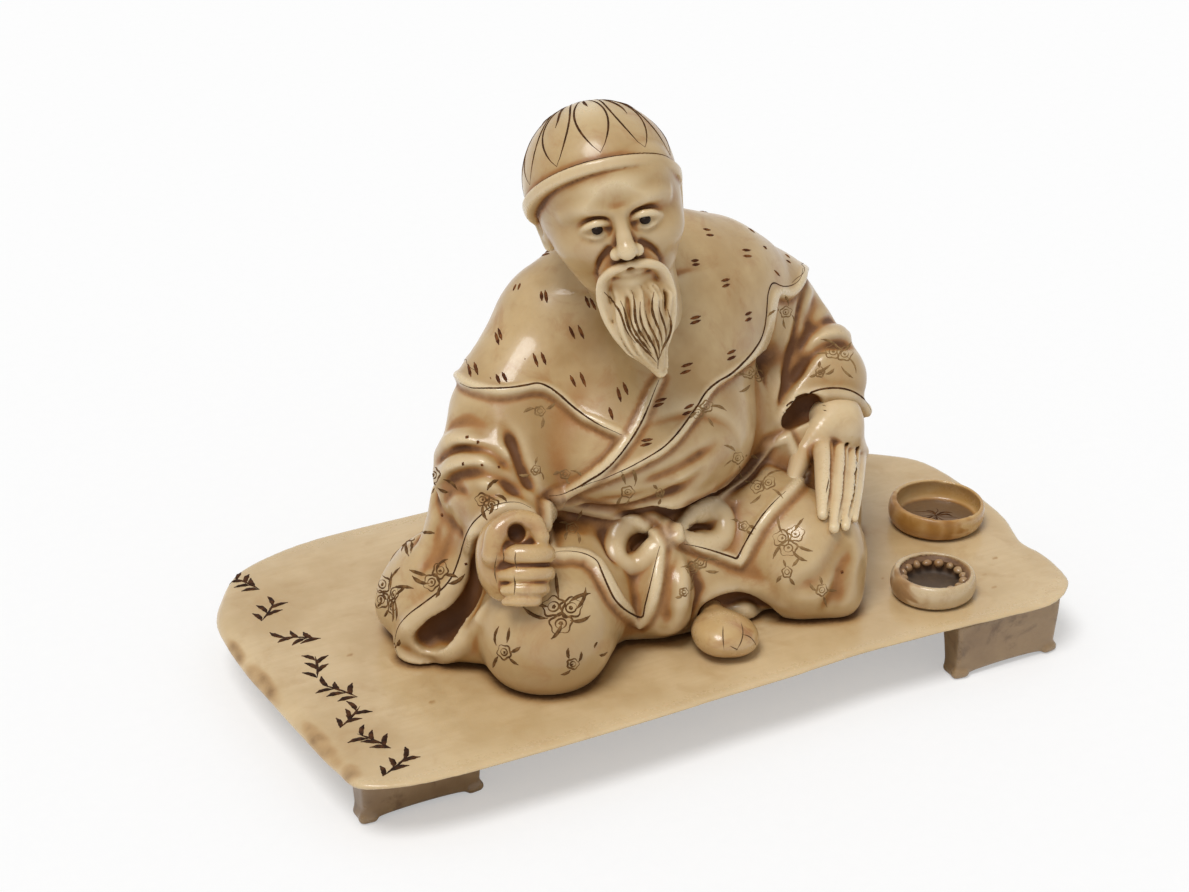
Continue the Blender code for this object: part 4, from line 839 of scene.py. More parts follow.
EAR_RIM = [(11.6, -1.5, -0.8), (12.5, -0.9, 0.7), (13.0, 0.9, 1.2), (13.2, 2.5, 0.1), (13.0, 2.9, -2.2),
           (12.5, 1.9, -4.7), (12.0, 0.3, -6.2), (11.6, -0.6, -5.2)]
EAR_RIM_RADII = [0.6, 0.8, 0.85, 0.85, 0.8, 0.85, 1.0, 0.6]
EAR_FOLD = [(12.5, 1.7, 0), (12.6, 1.7, -1.8), (12.2, 0.8, -4.0)]


def ear(c, side):
    def out(x, y, z):
        return side * (x - 0.9) - 0.6, y, z

    c.join(egg(out(12.0, 1.0, -2.6), (1.2, 2.3, 3.7)), 1.0)
    c.join(rope([out(*p) for p in EAR_RIM], EAR_RIM_RADII), 0.4)
    c.join(egg(out(13.1, 0.4, -2.4), (1.0, 1.2, 1.8)), 0.6, cut=True)
    c.join(rope([out(*p) for p in EAR_FOLD], 0.5), 0.4)


def head(step):
    c = Clay((-17, -21, -33), (17, 18, 20), step)
    c.add(SKULL + NECK)
    for side in (-1, 1):
        eye_and_brow(c, side)
        ear(c, side)
    c.add(NOSE)
    for side in (-1, 1):
        nostril(c, side)
    c.add(MOUTH)
    c.join(rope(MOUTH_LINE, 0.3), 0.3, cut=True)
    cap(c)
    beard(c)
    return c


def cap(c):
    """Skull cap with a plain raised rim."""
    low, high, shell = egg(CAP_MIDDLE, CAP_RADII)
    wide_low, wide_high, rim_shell = egg(CAP_MIDDLE, np.add(CAP_RADII, CAP_RIM_RISE))

    def over_rim(y, z):
        return CAP_RIM[1] * y + CAP_RIM[2] * z - CAP_RIM_AT

    def crown(x, y, z, reach):
        return soft_max(shell(x, y, z, reach), -over_rim(y, z), 0.4)

    def rim(x, y, z, reach):
        above = soft_max(rim_shell(x, y, z, reach), -over_rim(y, z), 0.5)
        return soft_max(above, over_rim(y, z) - CAP_RIM_WIDTH, 0.5)

    c.join((low, high, crown), 0)
    c.join((wide_low, wide_high, rim), 0)


BEARD_PATH = [(0, -10.4, -10.6), (0.7, -11.3, -13.8), (0.9, -12.0, -18.0), (0.5, -12.6, -22.4),
              (1.8, -12.8, -27.4)]
BEARD_WIDE = [3.9, 5.2, 4.7, 3.3, 0.5]
BEARD_DEEP = [2.8, 3.3, 3.0, 2.2, 0.5]
BEARD_LOCKS = 10
MOUSTACHE = [(1.0, -14.2, -6.7), (3.2, -13.5, -7.3), (5.1, -12.3, -9.3), (5.9, -11.9, -12.6),
             (5.6, -12.3, -16.3), (4.6, -12.9, -19.6), (3.4, -13.0, -22.4)]
MOUSTACHE_RADII = [0.6, 0.8, 0.8, 0.75, 0.7, 0.6, 0.35]


def beard(c):
    """A long pointed beard in wavy locks, and a moustache that hangs over its sides."""
    middle = curve(BEARD_PATH, 8)
    n = len(middle)
    wide, deep = spread(BEARD_WIDE, n), spread(BEARD_DEEP, n)
    c.join(limb(middle, deep), 2.5)
    for side in (-1, 1):
        beside = np.stack([side * (wide - deep) * 0.6, deep * 0.15, 0 * deep], 1)
        c.join(limb(middle + beside, deep * 0.85), 1.5)
    t = np.linspace(0, 1, n)
    for k in range(BEARD_LOCKS):
        u = -0.92 + 1.84 * k / (BEARD_LOCKS - 1)
        phase = 0.35 * (k % 3)
        sway = 0.8 * np.sin(2 * math.pi * (1.15 * t + phase * 0.3) + 0.4) * ease(0, 0.25, t) * (1 - 0.5 * t)
        across = u * wide + sway
        depth = np.sqrt(np.maximum(1 - u * u, 0.05)) * deep
        lock = middle + np.stack([across, -depth * 0.95, 0.9 * (1 - abs(u)) * (1 - t)], 1)
        r = (0.66 + 0.22 * (k % 2)) * (1 - 0.5 * t**2) * ease(-0.15, 0.12, t)
        c.join(limb(lock, r), 0.3)
        groove = lock + np.stack([0.5 * wide / BEARD_LOCKS * 2, -0.75 * r, 0 * t], 1)
        c.join(limb(groove, 0.4 * (1 - 0.4 * t) * ease(0.0, 0.2, t)), 0.2, cut=True)
    for side in (-1, 1):
        path = [(side * x + 0.5 * k / 6, y, z) for k, (x, y, z) in enumerate(MOUSTACHE)]
        c.join(rope(path, MOUSTACHE_RADII), 0.35)
        path = [(x - side * 0.9, y - 0.1, z + 0.4) for x, y, z in path[:5]]
        c.join(rope(path, [0.5, 0.7, 0.7, 0.6, 0.3]), 0.3)


def placed(surface, place, frame_of):
    """Turns and moves a surface out of its own frame."""
    surface.p = surface.p @ frame_of.T + place
    surface.n = surface.n @ frame_of.T
    return surface


# The closed right hand is modelled as the photograph's camera sees it: right, up and towards the camera.
FIST_PIXEL, FIST_LEVEL = (513, 558), -22.5
FIST_FRAME = np.stack([eye.right, eye.up, -eye.ahead], 1)
# For each finger: up, right and radius.
FIST_FINGERS = [(0.7, 6.3, 1.75), (-2.5, 6.4, 1.5), (-5.1, 5.9, 1.25), (-7.0, 4.9, 0.95)]
FIST_THUMB = [(-3.4, 0.6, 3.2), (-2.4, 4.4, 3.2), (0.4, 6.3, 2.4), (3.4, 5.9, 2.2), (4.7, 3.7, 2.6)]
FIST_PALM = [
    (egg((-1.7, -0.4, -1.4), (4.6, 6.9, 5.0)), 0),
    (egg((1.2, -1.6, -1.2), (4.7, 5.8, 4.5)), 2),
    (egg((0.8, 3.6, -0.8), (4.9, 3.1, 4.0)), 1.5),
    (limb([(-0.8, 2, -3), (-1.5, 9, -10.5)], [4.8, 4.3]), 2),
]


def fist(step):
    c = Clay((-9, -11, -14), (9, 13, 8), step)
    c.add(FIST_PALM)
    for up, right, r in FIST_FINGERS:
        finger = [(-1.2, up - 0.2, 3.2), (0.8, up, 4.0), (3.6, up, 3.8), (right - 0.9, up, 2.0),
                  (right - 0.9, up - 0.2, -0.8)]
        c.join(rope(finger, [r * 0.7, r, r, r, r * 0.9]), 0.6)
    for (up, right, r), (below, _, small) in zip(FIST_FINGERS, FIST_FINGERS[1:]):
        between = (up - r + below + small) / 2
        groove = [(-1.4, between, 4.6), (1.0, between, 5.3), (3.8, between, 4.9),
                  (right - 0.1, between, 2.6), (right, between, 0.4)]
        c.join(rope(groove, [0.25, 0.4, 0.4, 0.35, 0.3]), 0.2, cut=True)
    c.join(rope(FIST_THUMB, [1.8, 2.0, 1.9, 1.7, 1.5]), 1.0)
    c.join(limb([(0.9, 5.0, 6.0), (0.7, 4.2, 2.9)], [1.7, 1.45]), 0.4, cut=True)
    return c


# The open left hand's places in millimetres, as its solid has them.
WRIST, PALM = np.array([41.4, 0.5, 39.3]), np.array([38.8, -6.2, 36.9])
KNUCKLES = np.array([(34.5, -7.8, 35.3), (37.9, -8.1, 33.9), (41.4, -7.1, 31.9), (44.2, -5.4, 29.7)])
FINGERTIPS = np.array([(22.9, -26.7, 31.7), (23.7, -29.2, 29.9), (26.5, -28.6, 29.3), (29.9, -26.2, 28.9)])
THUMB = [(37.6, -6.4, 38.6), (34.6, -7.6, 37.6), (30.0, -8.8, 34.2), (26.4, -12.2, 33.2),
         (24.2, -14.6, 32.5)]
FINGER_RADII = [(2.1, 1.75, 1.55, 1.0), (1.9, 1.65, 1.45, 0.95), (1.75, 1.5, 1.3, 0.85),
                (1.6, 1.35, 1.15, 0.75)]


def open_hand(step):
    """The left hand, laid over the knee."""
    c = Clay((17, -34, 22), (53, 8, 50), step)
    c.join(rope([WRIST, PALM], [4.4, 4.6]), 0)
    for knuckle in KNUCKLES:
        c.join(limb([PALM + (0, 0.8, 0.2), knuckle], [4.0, 2.0]), 2.2)
    for knuckle, tip, radii in zip(KNUCKLES, FINGERTIPS, FINGER_RADII):
        rise = np.array([0.1, -0.2, 0.9])
        joints = [knuckle * 0.66 + tip * 0.34 + rise, knuckle * 0.32 + tip * 0.68 + rise * 0.8]
        c.join(rope([knuckle, *joints, tip], radii), 0.35)
    for near, far, near_tip, far_tip in zip(KNUCKLES, KNUCKLES[1:], FINGERTIPS, FINGERTIPS[1:]):
        start, end = (near + far) / 2 + (-0.3, -1.2, 2.3), (near_tip + far_tip) / 2 + (0, 0, 1.0)
        c.join(limb([start, start * 0.5 + end * 0.5 + (0, 0, 0.5), end], [0.35, 0.5, 0.4]), 0.3, cut=True)
    c.join(rope(THUMB, [3.2, 2.8, 2.1, 1.7, 1.25]), 0.9)
    return c


BARE_FOOT = np.array([1.5, -29.5, 16.3])    # as its solid has it


def bare_foot(step):
    """The end of one bare foot, with its short stub back into the robe."""
    c = Clay(BARE_FOOT - (9, 9, 6), BARE_FOOT + (9, 14, 7), step)
    c.join(egg(BARE_FOOT - (0, 0.2, 1.2), (5.7, 6.5, 3.5), turn((0, 1, 0), 8)), 0)
    c.join(egg(BARE_FOOT + (-3.0, -1.2, -0.8), (3.0, 4.4, 2.5)), 1.5)
    c.join(limb([BARE_FOOT + (0.6, 2, -1.6), BARE_FOOT + (1.4, 8.4, -1.0)], [2.4, 2.4]), 1.5)
    c.keep(above_seat)
    return c


# The board: its outline from above in millimetres, thin along front and back and thick at its left end.
BOARD_LINE = [(-73.5, -34.8), (-71.9, -38.7), (-66.5, -41.6), (-60, -42.9), (-49.4, -43.4), (-30.9, -43.6),
              (-11.4, -43.1), (8.9, -42.6), (21.7, -41.8), (38.1, -42.4), (50.3, -43.4), (58.8, -43.9),
              (63.5, -43.3), (67.2, -41.2), (69.8, -38), (71.2, -32.5), (71.6, -27), (70.9, -22),
              (72.2, -17.5), (74, -12), (74.9, -4), (75, 4.3), (74.7, 11), (72.8, 17.4), (66.6, 23.7),
              (58, 30.2), (48, 37), (36, 41), (20, 42.6), (0, 43.4), (-20, 43.7), (-37.8, 43.9),
              (-48.4, 43.3), (-57.5, 40.9), (-63.4, 37.8), (-68.4, 32.6), (-72, 27.2), (-73.9, 20.5),
              (-74.9, 7), (-74.7, -3), (-74.4, -14), (-74, -25)]
BOARD_BOTTOM = 8.6
EDGE_RISE = 2.35             # how much higher the underside is at the front and back edges


def line_distance(line, x, y):
    """Distance inside (above zero) or outside a closed line on a plane."""
    best, odd = np.full(x.shape, BEYOND), np.zeros(x.shape, bool)
    line = np.asarray(line, float)
    for a, b in zip(line, np.roll(line, -1, 0)):
        ab = b - a
        t = np.clip(((x - a[0]) * ab[0] + (y - a[1]) * ab[1]) / max(ab @ ab, TINY), 0, 1)
        best = np.minimum(best, np.hypot(x - a[0] - t * ab[0], y - a[1] - t * ab[1]))
        if a[1] != b[1]:
            odd ^= ((a[1] > y) != (b[1] > y)) & (x < (b[0] - a[0]) * (y - a[1]) / (b[1] - a[1]) + a[0])
    return np.where(odd, best, -best)


def closed_curve(points, steps=4):
    p = np.asarray(points, float)
    return curve(np.vstack([p[-2:], p, p[:2]]), steps)[2 * steps:-2 * steps - 1]


def underside(x, y):
    """Height of the board's underside."""
    return BOARD_BOTTOM + EDGE_RISE * ease(27, 43.5, np.abs(y)) + 0.9 * ease(60, 75, x)


def board(step):
    c = Clay((-77, -46, 6.5), (77, 46, 14), (step, step, 0.4 * step))
    x, y, z = c.axes
    gx, gy = np.meshgrid(x, y, indexing="ij")
    inside = line_distance(closed_curve(BOARD_LINE), gx, gy).astype(np.float32)
    top = BOARD_TOP - 0.25 * ease(6, 0, inside)
    soft = 0.9 + 2.8 * ease(-62, -72, gx) * ease(40, 30, np.abs(gy))
    upper = z[None, None, :] - top[:, :, None]
    lower = underside(gx, gy)[:, :, None] - z[None, None, :]
    side = -inside[:, :, None]
    above, below = soft_max(upper, side, soft[:, :, None]), soft_max(lower, side, soft[:, :, None] * 0.9)
    c.d = soft_max(above, below, 0.05).astype(np.float32)
    return c


def foot_line():
    """A foot's outline from the front: an arch between two toes, and sides with a notch."""
    half, notch, arch, rise, top = 11.25, 0.5, 8.6, 0.8, 11.6
    right = [(half - 0.4, 0), (half, 0.7), (half - 0.3, 1.5), (half - notch, 2.5),
             (half - notch * 0.8, 5.0), (half - 0.2, 8.3), (half, top)]
    under = [(-arch * math.cos(a), rise * math.sin(a) ** 0.8) for a in np.linspace(0, math.pi, 14)]
    return [(-px, pz) for px, pz in reversed(right)] + under + right


def foot(step, place):
    px, py = place
    c = Clay((px - 13, py - 5, -1.5), (px + 13, py + 5, 13.5), step)
    x, y, z = c.axes
    gx, gz = np.meshgrid(x - px, z, indexing="ij")
    flat = -line_distance(foot_line(), gx, gz)[:, None, :]
    gy = (y - py)[None, :, None]
    depth = 2.1 + 0.7 * np.clip(z / 8.3, 0, 1)[None, None, :]
    plate = soft_max(flat, np.abs(gy) - depth, 0.9)
    under = z[None, None, :] - underside(x[:, None, None], y[None, :, None]) - 0.15
    c.d = soft_max(plate, under, 0.1).astype(np.float32)
    outward = -1 if py < 0 else 1
    for side in (-1, 1):
        notch = [(px + side * 11.0, py + outward * 2.9, 2.2), (px + side * 8.4, py + outward * 3.1, 2.6)]
        c.join(limb(notch, [0.9, 0.4]), 0.3, cut=True)
        toe = [(px + side * 10.5, py + outward * 1.6, 0.9), (px + side * 9.0, py + outward * 2.0, 0.9)]
        c.join(limb(toe, [0.9, 0.8]), 0.5)
    c.keep(lambda a, b, h: -h + 0 * a + 0 * b)
    return c


def bowl(step, box_low, box_high, rim, base, wall, floor, tilt, shoulder=0.0):
    """A squat turned bowl with a worn, slanted rim."""
    low, high = np.array(box_low) / MM, np.array(box_high) / MM
    middle, height = (low + high) / 2, high[2] - low[2]
    radius = (high[0] - low[0]) / 2
    c = Clay(low - 2, high + 2, step)
    x, y, z = (a - m for a, m in zip(c.axes, (middle[0], middle[1], low[2])))
    r = np.sqrt(x[:, None, None] ** 2 + y[None, :, None] ** 2)
    angle = np.arctan2(y[None, :, None], x[:, None, None])
    h = np.clip(z / height, -0.1, 1.2)[None, None, :]
    to_rim = (radius - rim) * ((h - 0.5) / 0.5) ** 2
    to_base = (radius - base) * ((0.5 - h) / 0.5) ** 2
    swell = radius - np.where(h > 0.5, to_rim, to_base)
    worn = 0.12 * np.sin(3 * angle + 1.0) + 0.07 * np.sin(7 * angle)
    slant = tilt * (-x[:, None, None] * 0.6 + y[None, :, None] * 0.5) / radius
    top = height + slant - abs(tilt) * 0.8 + 0.1 * worn
    solid = soft_max(soft_max(r - swell, z[None, None, :] - top, 0.4), -z[None, None, :], 0.6)
    inner = swell - wall * (1.0 + 0.25 * np.cos(angle - 2.4)) - shoulder * ease(0.84, 0.76, h)
    room = soft_max(r - inner, floor + 0.25 * np.cos(r * 0.35) - z[None, None, :], 0.8)
    c.d = soft_max(solid, -room, 0.3).astype(np.float32)
    return c


def board_surface(step, cloth):
    """The board, with dirt and a painted contact shadow where the figure meets it, small knots, and bark at
    its left end.
    """
    clay = board(step)
    s = Surface(clay, relax=4)
    flat = s.p.copy()
    flat[:, 2] = SEAT + 0.6
    gap = np.maximum(cloth.read(flat), 0) + 2.0 * (np.abs(flat[:, 0]) > 52)
    # Darker near the robe's foot: dirt along the contact and a painted contact shadow.
    s.stain = np.maximum(s.stain * 0.5, 0.85 * np.exp(-gap / 0.9) * (s.p[:, 2] > 11))
    for pixel, size, strength in KNOTS:
        away = np.linalg.norm(s.p - plane_point(pixel, 2, BOARD_TOP), axis=1)
        s.stain = np.maximum(s.stain, 0.6 * strength * ease(size, size * 0.2, away))
    for pixel, size in BARK_PATCHES:
        away = np.linalg.norm((s.p - plane_point(pixel, 2, BOARD_TOP - 1.2)) / size, axis=1)
        wave = np.sin(s.p[:, 1] * 0.9 + 2 * np.sin(s.p[:, 0] * 0.8))
        ragged = 0.5 + 0.5 * wave * np.cos(s.p[:, 2] * 1.3 + s.p[:, 1] * 0.5)
        s.stain = np.maximum(s.stain, (0.3 + 0.35 * ragged) * ease(1.3, 0.4, away))
    return s


# Dark knots in the board: pixel, size in millimetres and strength.
KNOTS = [((350, 655), 0.8, 0.9), ((432, 702), 0.9, 0.8), ((235, 748), 0.7, 0.8), ((995, 558), 0.8, 0.9),
         ((985, 575), 0.6, 0.8), ((994, 587), 0.7, 0.8), ((927, 462), 0.7, 0.8), ((883, 578), 0.5, 0.8)]
# Patches of bark along its left end: pixel and half sizes in millimetres.
BARK_PATCHES = [((234, 652), (1.6, 5.5, 2.0)), ((262, 684), (1.9, 8.0, 2.2)), ((322, 746), (1.7, 8.5, 2.2)),
                ((352, 776), (2.0, 3.0, 1.8))]
FOOT_PLACES = {"foot_front_left": (-58.9, -31.0), "foot_front_right": (53.65, -39.6),
               "foot_rear_left": (-57.3, 9.0), "foot_rear_right": (56.0, 12.0)}


def tone(red, green, blue):
    """A colour as a picture shows it, as the numbers that a shader takes."""
    return tuple((((v / 255 + 0.055) / 1.055) ** 2.4) for v in (red, green, blue)) + (1.0,)


class Wire:
    """A shader socket that takes part in sums."""

    def __init__(self, tree, socket):
        self.tree, self.socket = tree, socket

    def maths(self, operation, *values):
        return self.tree.node("ShaderNodeMath", {"operation": operation}, dict(enumerate(values)))

    def __add__(self, other):
        return self.maths("ADD", self, other)

    def __radd__(self, other):
        return self.maths("ADD", other, self)

    def __sub__(self, other):
        return self.maths("SUBTRACT", self, other)

    def __rsub__(self, other):
        return self.maths("SUBTRACT", other, self)

    def __mul__(self, other):
        return self.maths("MULTIPLY", self, other)

    def __rmul__(self, other):
        return self.maths("MULTIPLY", other, self)

    def least(self, other):
        return self.maths("MINIMUM", self, other)

    def most(self, other):
        return self.maths("MAXIMUM", self, other)

    def between(self, low, high):
        """0 below low, 1 above high, and smooth between them."""
        return self.tree.node("ShaderNodeMapRange", {"interpolation_type": "SMOOTHSTEP"}, {0: self, 1: low,
                                                                                           2: high, 3: 0.0,
                                                                                           4: 1.0})


class Tree:
    """Makes the nodes of a material or of a geometry group."""

    def __init__(self, nodes):
        self.nodes = nodes
        nodes.nodes.clear()

    def node(self, kind, settings=None, sockets=None, out=0):
        n = self.nodes.nodes.new(kind)
        for key, value in (settings or {}).items():
            setattr(n, key, value)
        for key, value in (sockets or {}).items():
            if isinstance(value, Wire):
                self.nodes.links.new(value.socket, n.inputs[key])
            else:
                n.inputs[key].default_value = value
        return Wire(self, n.outputs[out]) if len(n.outputs) else n

    def inputs(self):
        """The sockets that a geometry group is given, by name."""
        entry = self.nodes.nodes.new("NodeGroupInput")
        return {socket.name: Wire(self, socket) for socket in entry.outputs if socket.name}

    def mix(self, factor, a, b):
        return self.node("ShaderNodeMix", {"data_type": "RGBA"}, {"Factor": factor, 6: a, 7: b}, out=2)

    def noise(self, place, scale, detail=3.0, rough=0.55, warp=0.0):
        return self.node("ShaderNodeTexNoise", None, {
            "Vector": place, "Scale": scale, "Detail": detail, "Roughness": rough, "Distortion": warp})

    def attribute(self, name):
        return self.node("ShaderNodeAttribute", {"attribute_name": name}, out="Fac")


def new_material(name):
    m = bpy.data.materials.new(name)
    m.use_nodes = True
    return m, Tree(m.node_tree)


def millimetres(t, stretch=(1, 1, 1), shift=(0, 0, 0)):
    """Object coordinates in millimetres, shrunk along the way that a grain runs."""
    place = t.node("ShaderNodeTexCoord", out="Object")
    return t.node("ShaderNodeMapping", None, {"Vector": place, "Location": shift,
                                              "Scale": tuple(s / MM for s in stretch)})


def finish_of(t, colour, roughness, height, depth_mm, coat, glow=0.12, ior=1.45):
    """The shader that every finish ends in."""
    bump = t.node("ShaderNodeBump", None, {"Strength": 1.0, "Distance": depth_mm * MM, "Height": height})
    shader = t.node("ShaderNodeBsdfPrincipled", None, {
        "Base Color": colour, "Roughness": roughness, "Normal": bump, "IOR": ior,
        "Coat Weight": coat, "Coat Roughness": 0.13,
        "Subsurface Weight": glow, "Subsurface Scale": 0.0012, "Subsurface Radius": (1.0, 0.75, 0.45)})
    t.node("ShaderNodeOutputMaterial", None, {"Surface": shader})


# Ivory as bright as a highlight, for worn ridges: part wear, part painted highlight.
WEAR_AND_HIGHLIGHT_TONE = tone(228, 208, 170)


def ivory(name, pale, warm, amber, stain, seed, grain=(1, 1, 1), grain_strength=0.5,
          patches=0.5, dirt_and_shade_strength=1.0, coat=0.35, wear_and_highlight_strength=1.0, zone=None):
    """Old carved ivory: cloudy tones, amber patches, fine grain, dirt in hollows with painted shadow under
    edges, and worn ridges lightened with a painted highlight.
    """
    m, t = new_material(name)
    place = millimetres(t, shift=(seed * 7.3, seed * 3.1, seed * 5.7))
    fibre = millimetres(t, grain, (seed, seed * 2.0, 0))
    clouds = t.noise(place, 0.055, 4.0, 0.6)
    blotches = t.noise(place, 0.16, 5.0, 0.62, 0.6)
    smears = t.noise(place, 0.42, 5.0, 0.7, 1.2)
    specks = t.noise(place, 1.5, 3.0, 0.6)
    lines = t.noise(fibre, 0.9, 4.0, 0.65)
    hollow = t.attribute("stain")
    ridge = t.attribute("polish")
    colour = t.mix(clouds.between(0.34, 0.66), pale, warm)
    colour = t.mix(blotches.between(0.5, 0.72) * patches, colour, amber)
    colour = t.mix((lines - 0.5) * grain_strength + 0.12, colour, warm)
    colour = t.mix(specks.between(0.66, 0.78) * 0.22, colour, amber)
    # Dirt in hollows, plus painted shadow under cloth edges and where the figure meets the board.
    dirt_and_shade = (hollow * (0.35 + blotches * 0.6 + smears * 0.75) * dirt_and_shade_strength).least(1.0)
    colour = t.mix(dirt_and_shade.between(0.03, 0.4) * 0.8, colour, amber)
    colour = t.mix(dirt_and_shade.between(0.25, 0.95) * 0.88, colour, stain)
    height = lines * 0.5 + specks * 0.25
    if zone:
        colour = t.mix(t.attribute("zone") * (0.75 + smears * 0.5), colour, zone)
    # Worn ridges and bands lightened towards a highlight-bright ivory: part wear, part painted highlight.
    colour = t.mix((ridge * (1 - dirt_and_shade) * (0.35 + clouds * 0.7) * wear_and_highlight_strength).least(0.75), colour, WEAR_AND_HIGHLIGHT_TONE)
    roughness = 0.3 + specks * 0.12 + dirt_and_shade * 0.3 - ridge * 0.1
    finish_of(t, colour, roughness, height, 0.07, (1 - dirt_and_shade.between(0.1, 0.7)) * coat)
    return m


CREAM, CREAM_WARM = tone(193, 164, 117), tone(167, 133, 83)
# AMBER and BROWN colour the dirt and the painted shadow that shares its mark.
AMBER, BROWN = tone(156, 100, 38), tone(86, 47, 12)


def robe_ivory():
    return ivory("robe_ivory", CREAM, CREAM_WARM, AMBER, BROWN, 1, grain=(1, 1, 0.25))


def head_ivory():
    return ivory("head_ivory", tone(194, 167, 121), tone(172, 138, 88), AMBER, BROWN, 2, patches=0.55,
                 coat=0.3)


def hand_ivory():
    return ivory("hand_ivory", tone(212, 188, 146), tone(194, 162, 116), AMBER, BROWN, 3, patches=0.3,
                 coat=0.35)


def fist_ivory():
    return ivory("yellowed_ivory", tone(196, 163, 108), tone(168, 126, 70), tone(150, 90, 30),
                 tone(80, 44, 14), 4, patches=0.9, dirt_and_shade_strength=1.9, coat=0.5, wear_and_highlight_strength=0.35)


def board_ivory():
    return ivory("board_ivory", tone(207, 181, 139), tone(188, 159, 114), tone(172, 134, 84),
                 tone(100, 66, 34), 5, grain=(0.05, 1, 1), grain_strength=1.0, patches=0.35, wear_and_highlight_strength=0.4)


# The brackets are the board's ivory, darkened to the shade they stand in under the board: painted shade.
def foot_ivory():
    return ivory("foot_ivory", tone(152, 124, 88), tone(122, 94, 62), tone(94, 66, 38), tone(54, 30, 12), 6,
                 patches=0.9, dirt_and_shade_strength=1.2, wear_and_highlight_strength=0.1)


def amber_bowl_ivory():
    return ivory("amber_bowl_ivory", tone(202, 174, 126), tone(182, 140, 78), tone(158, 104, 22),
                 tone(84, 50, 12), 7, patches=0.9, coat=0.4, wear_and_highlight_strength=0.05, zone=tone(104, 78, 52))


def pale_bowl_ivory():
    return ivory("pale_bowl_ivory", tone(206, 186, 152), tone(186, 160, 120), tone(148, 102, 50),
                 tone(84, 52, 28), 8, patches=0.5, wear_and_highlight_strength=0.2, zone=tone(78, 62, 48))


def bead_ivory():
    return ivory("bead_ivory", tone(180, 152, 112), tone(150, 112, 72), tone(116, 78, 42), tone(70, 42, 20),
                 10, patches=0.8)


def peg_ivory():
    return ivory("peg_ivory", tone(206, 184, 146), tone(188, 160, 118), AMBER, BROWN, 9, grain=(1, 1, 0.1),
                 grain_strength=0.9)


def pupil_horn():
    m, t = new_material("pupil_horn")
    place = millimetres(t)
    streaks = t.noise(place, 2.4, 3.0)
    finish_of(t, t.mix(streaks, tone(22, 14, 9), tone(44, 30, 20)), 0.35 + streaks * 0.12, streaks, 0.02,
              0.05, 0.0, 1.2)
    return m


def cut_line(name, dark, light, seed):
    """Old pigment rubbed into a cut."""
    m, t = new_material(name)
    place = millimetres(t, shift=(seed, 0, 0))
    worn = t.noise(place, 0.8, 4.0, 0.6)
    finish_of(t, t.mix(worn.between(0.4, 0.68), dark, light), 0.6 + worn * 0.2, worn, 0.05, 0.0, 0.0, 1.2)
    return m


class Skin:
    """A finished surface that rays can meet."""

    def __init__(self, surface):
        self.tree = BVHTree.FromPolygons(surface.p.tolist(), surface.faces.tolist())

    def runs(self, starts, headings, jump=2.5):
        """The places that rays meet, as unbroken runs."""
        out, last = [[]], None
        for start, heading in zip(starts, headings):
            hit = self.tree.ray_cast(Vector(start), Vector(heading))[0]
            if hit is None or (last is not None and (hit - last).length > jump):
                out.append([])
            if hit is not None:
                out[-1].append(tuple(hit))
            last = hit
        return [run for run in out if len(run) > 1]

    def seen_at(self, pixels):
        return self.runs(*eye.rays(pixels))

    def from_side(self, side, points):
        axis, sign, kept = SIDES[side]
        starts, headings = np.zeros((len(points), 3)), np.zeros((len(points), 3))
        starts[:, kept] = points
        starts[:, axis], headings[:, axis] = RAY_START * sign, -sign
        return self.runs(starts, headings)


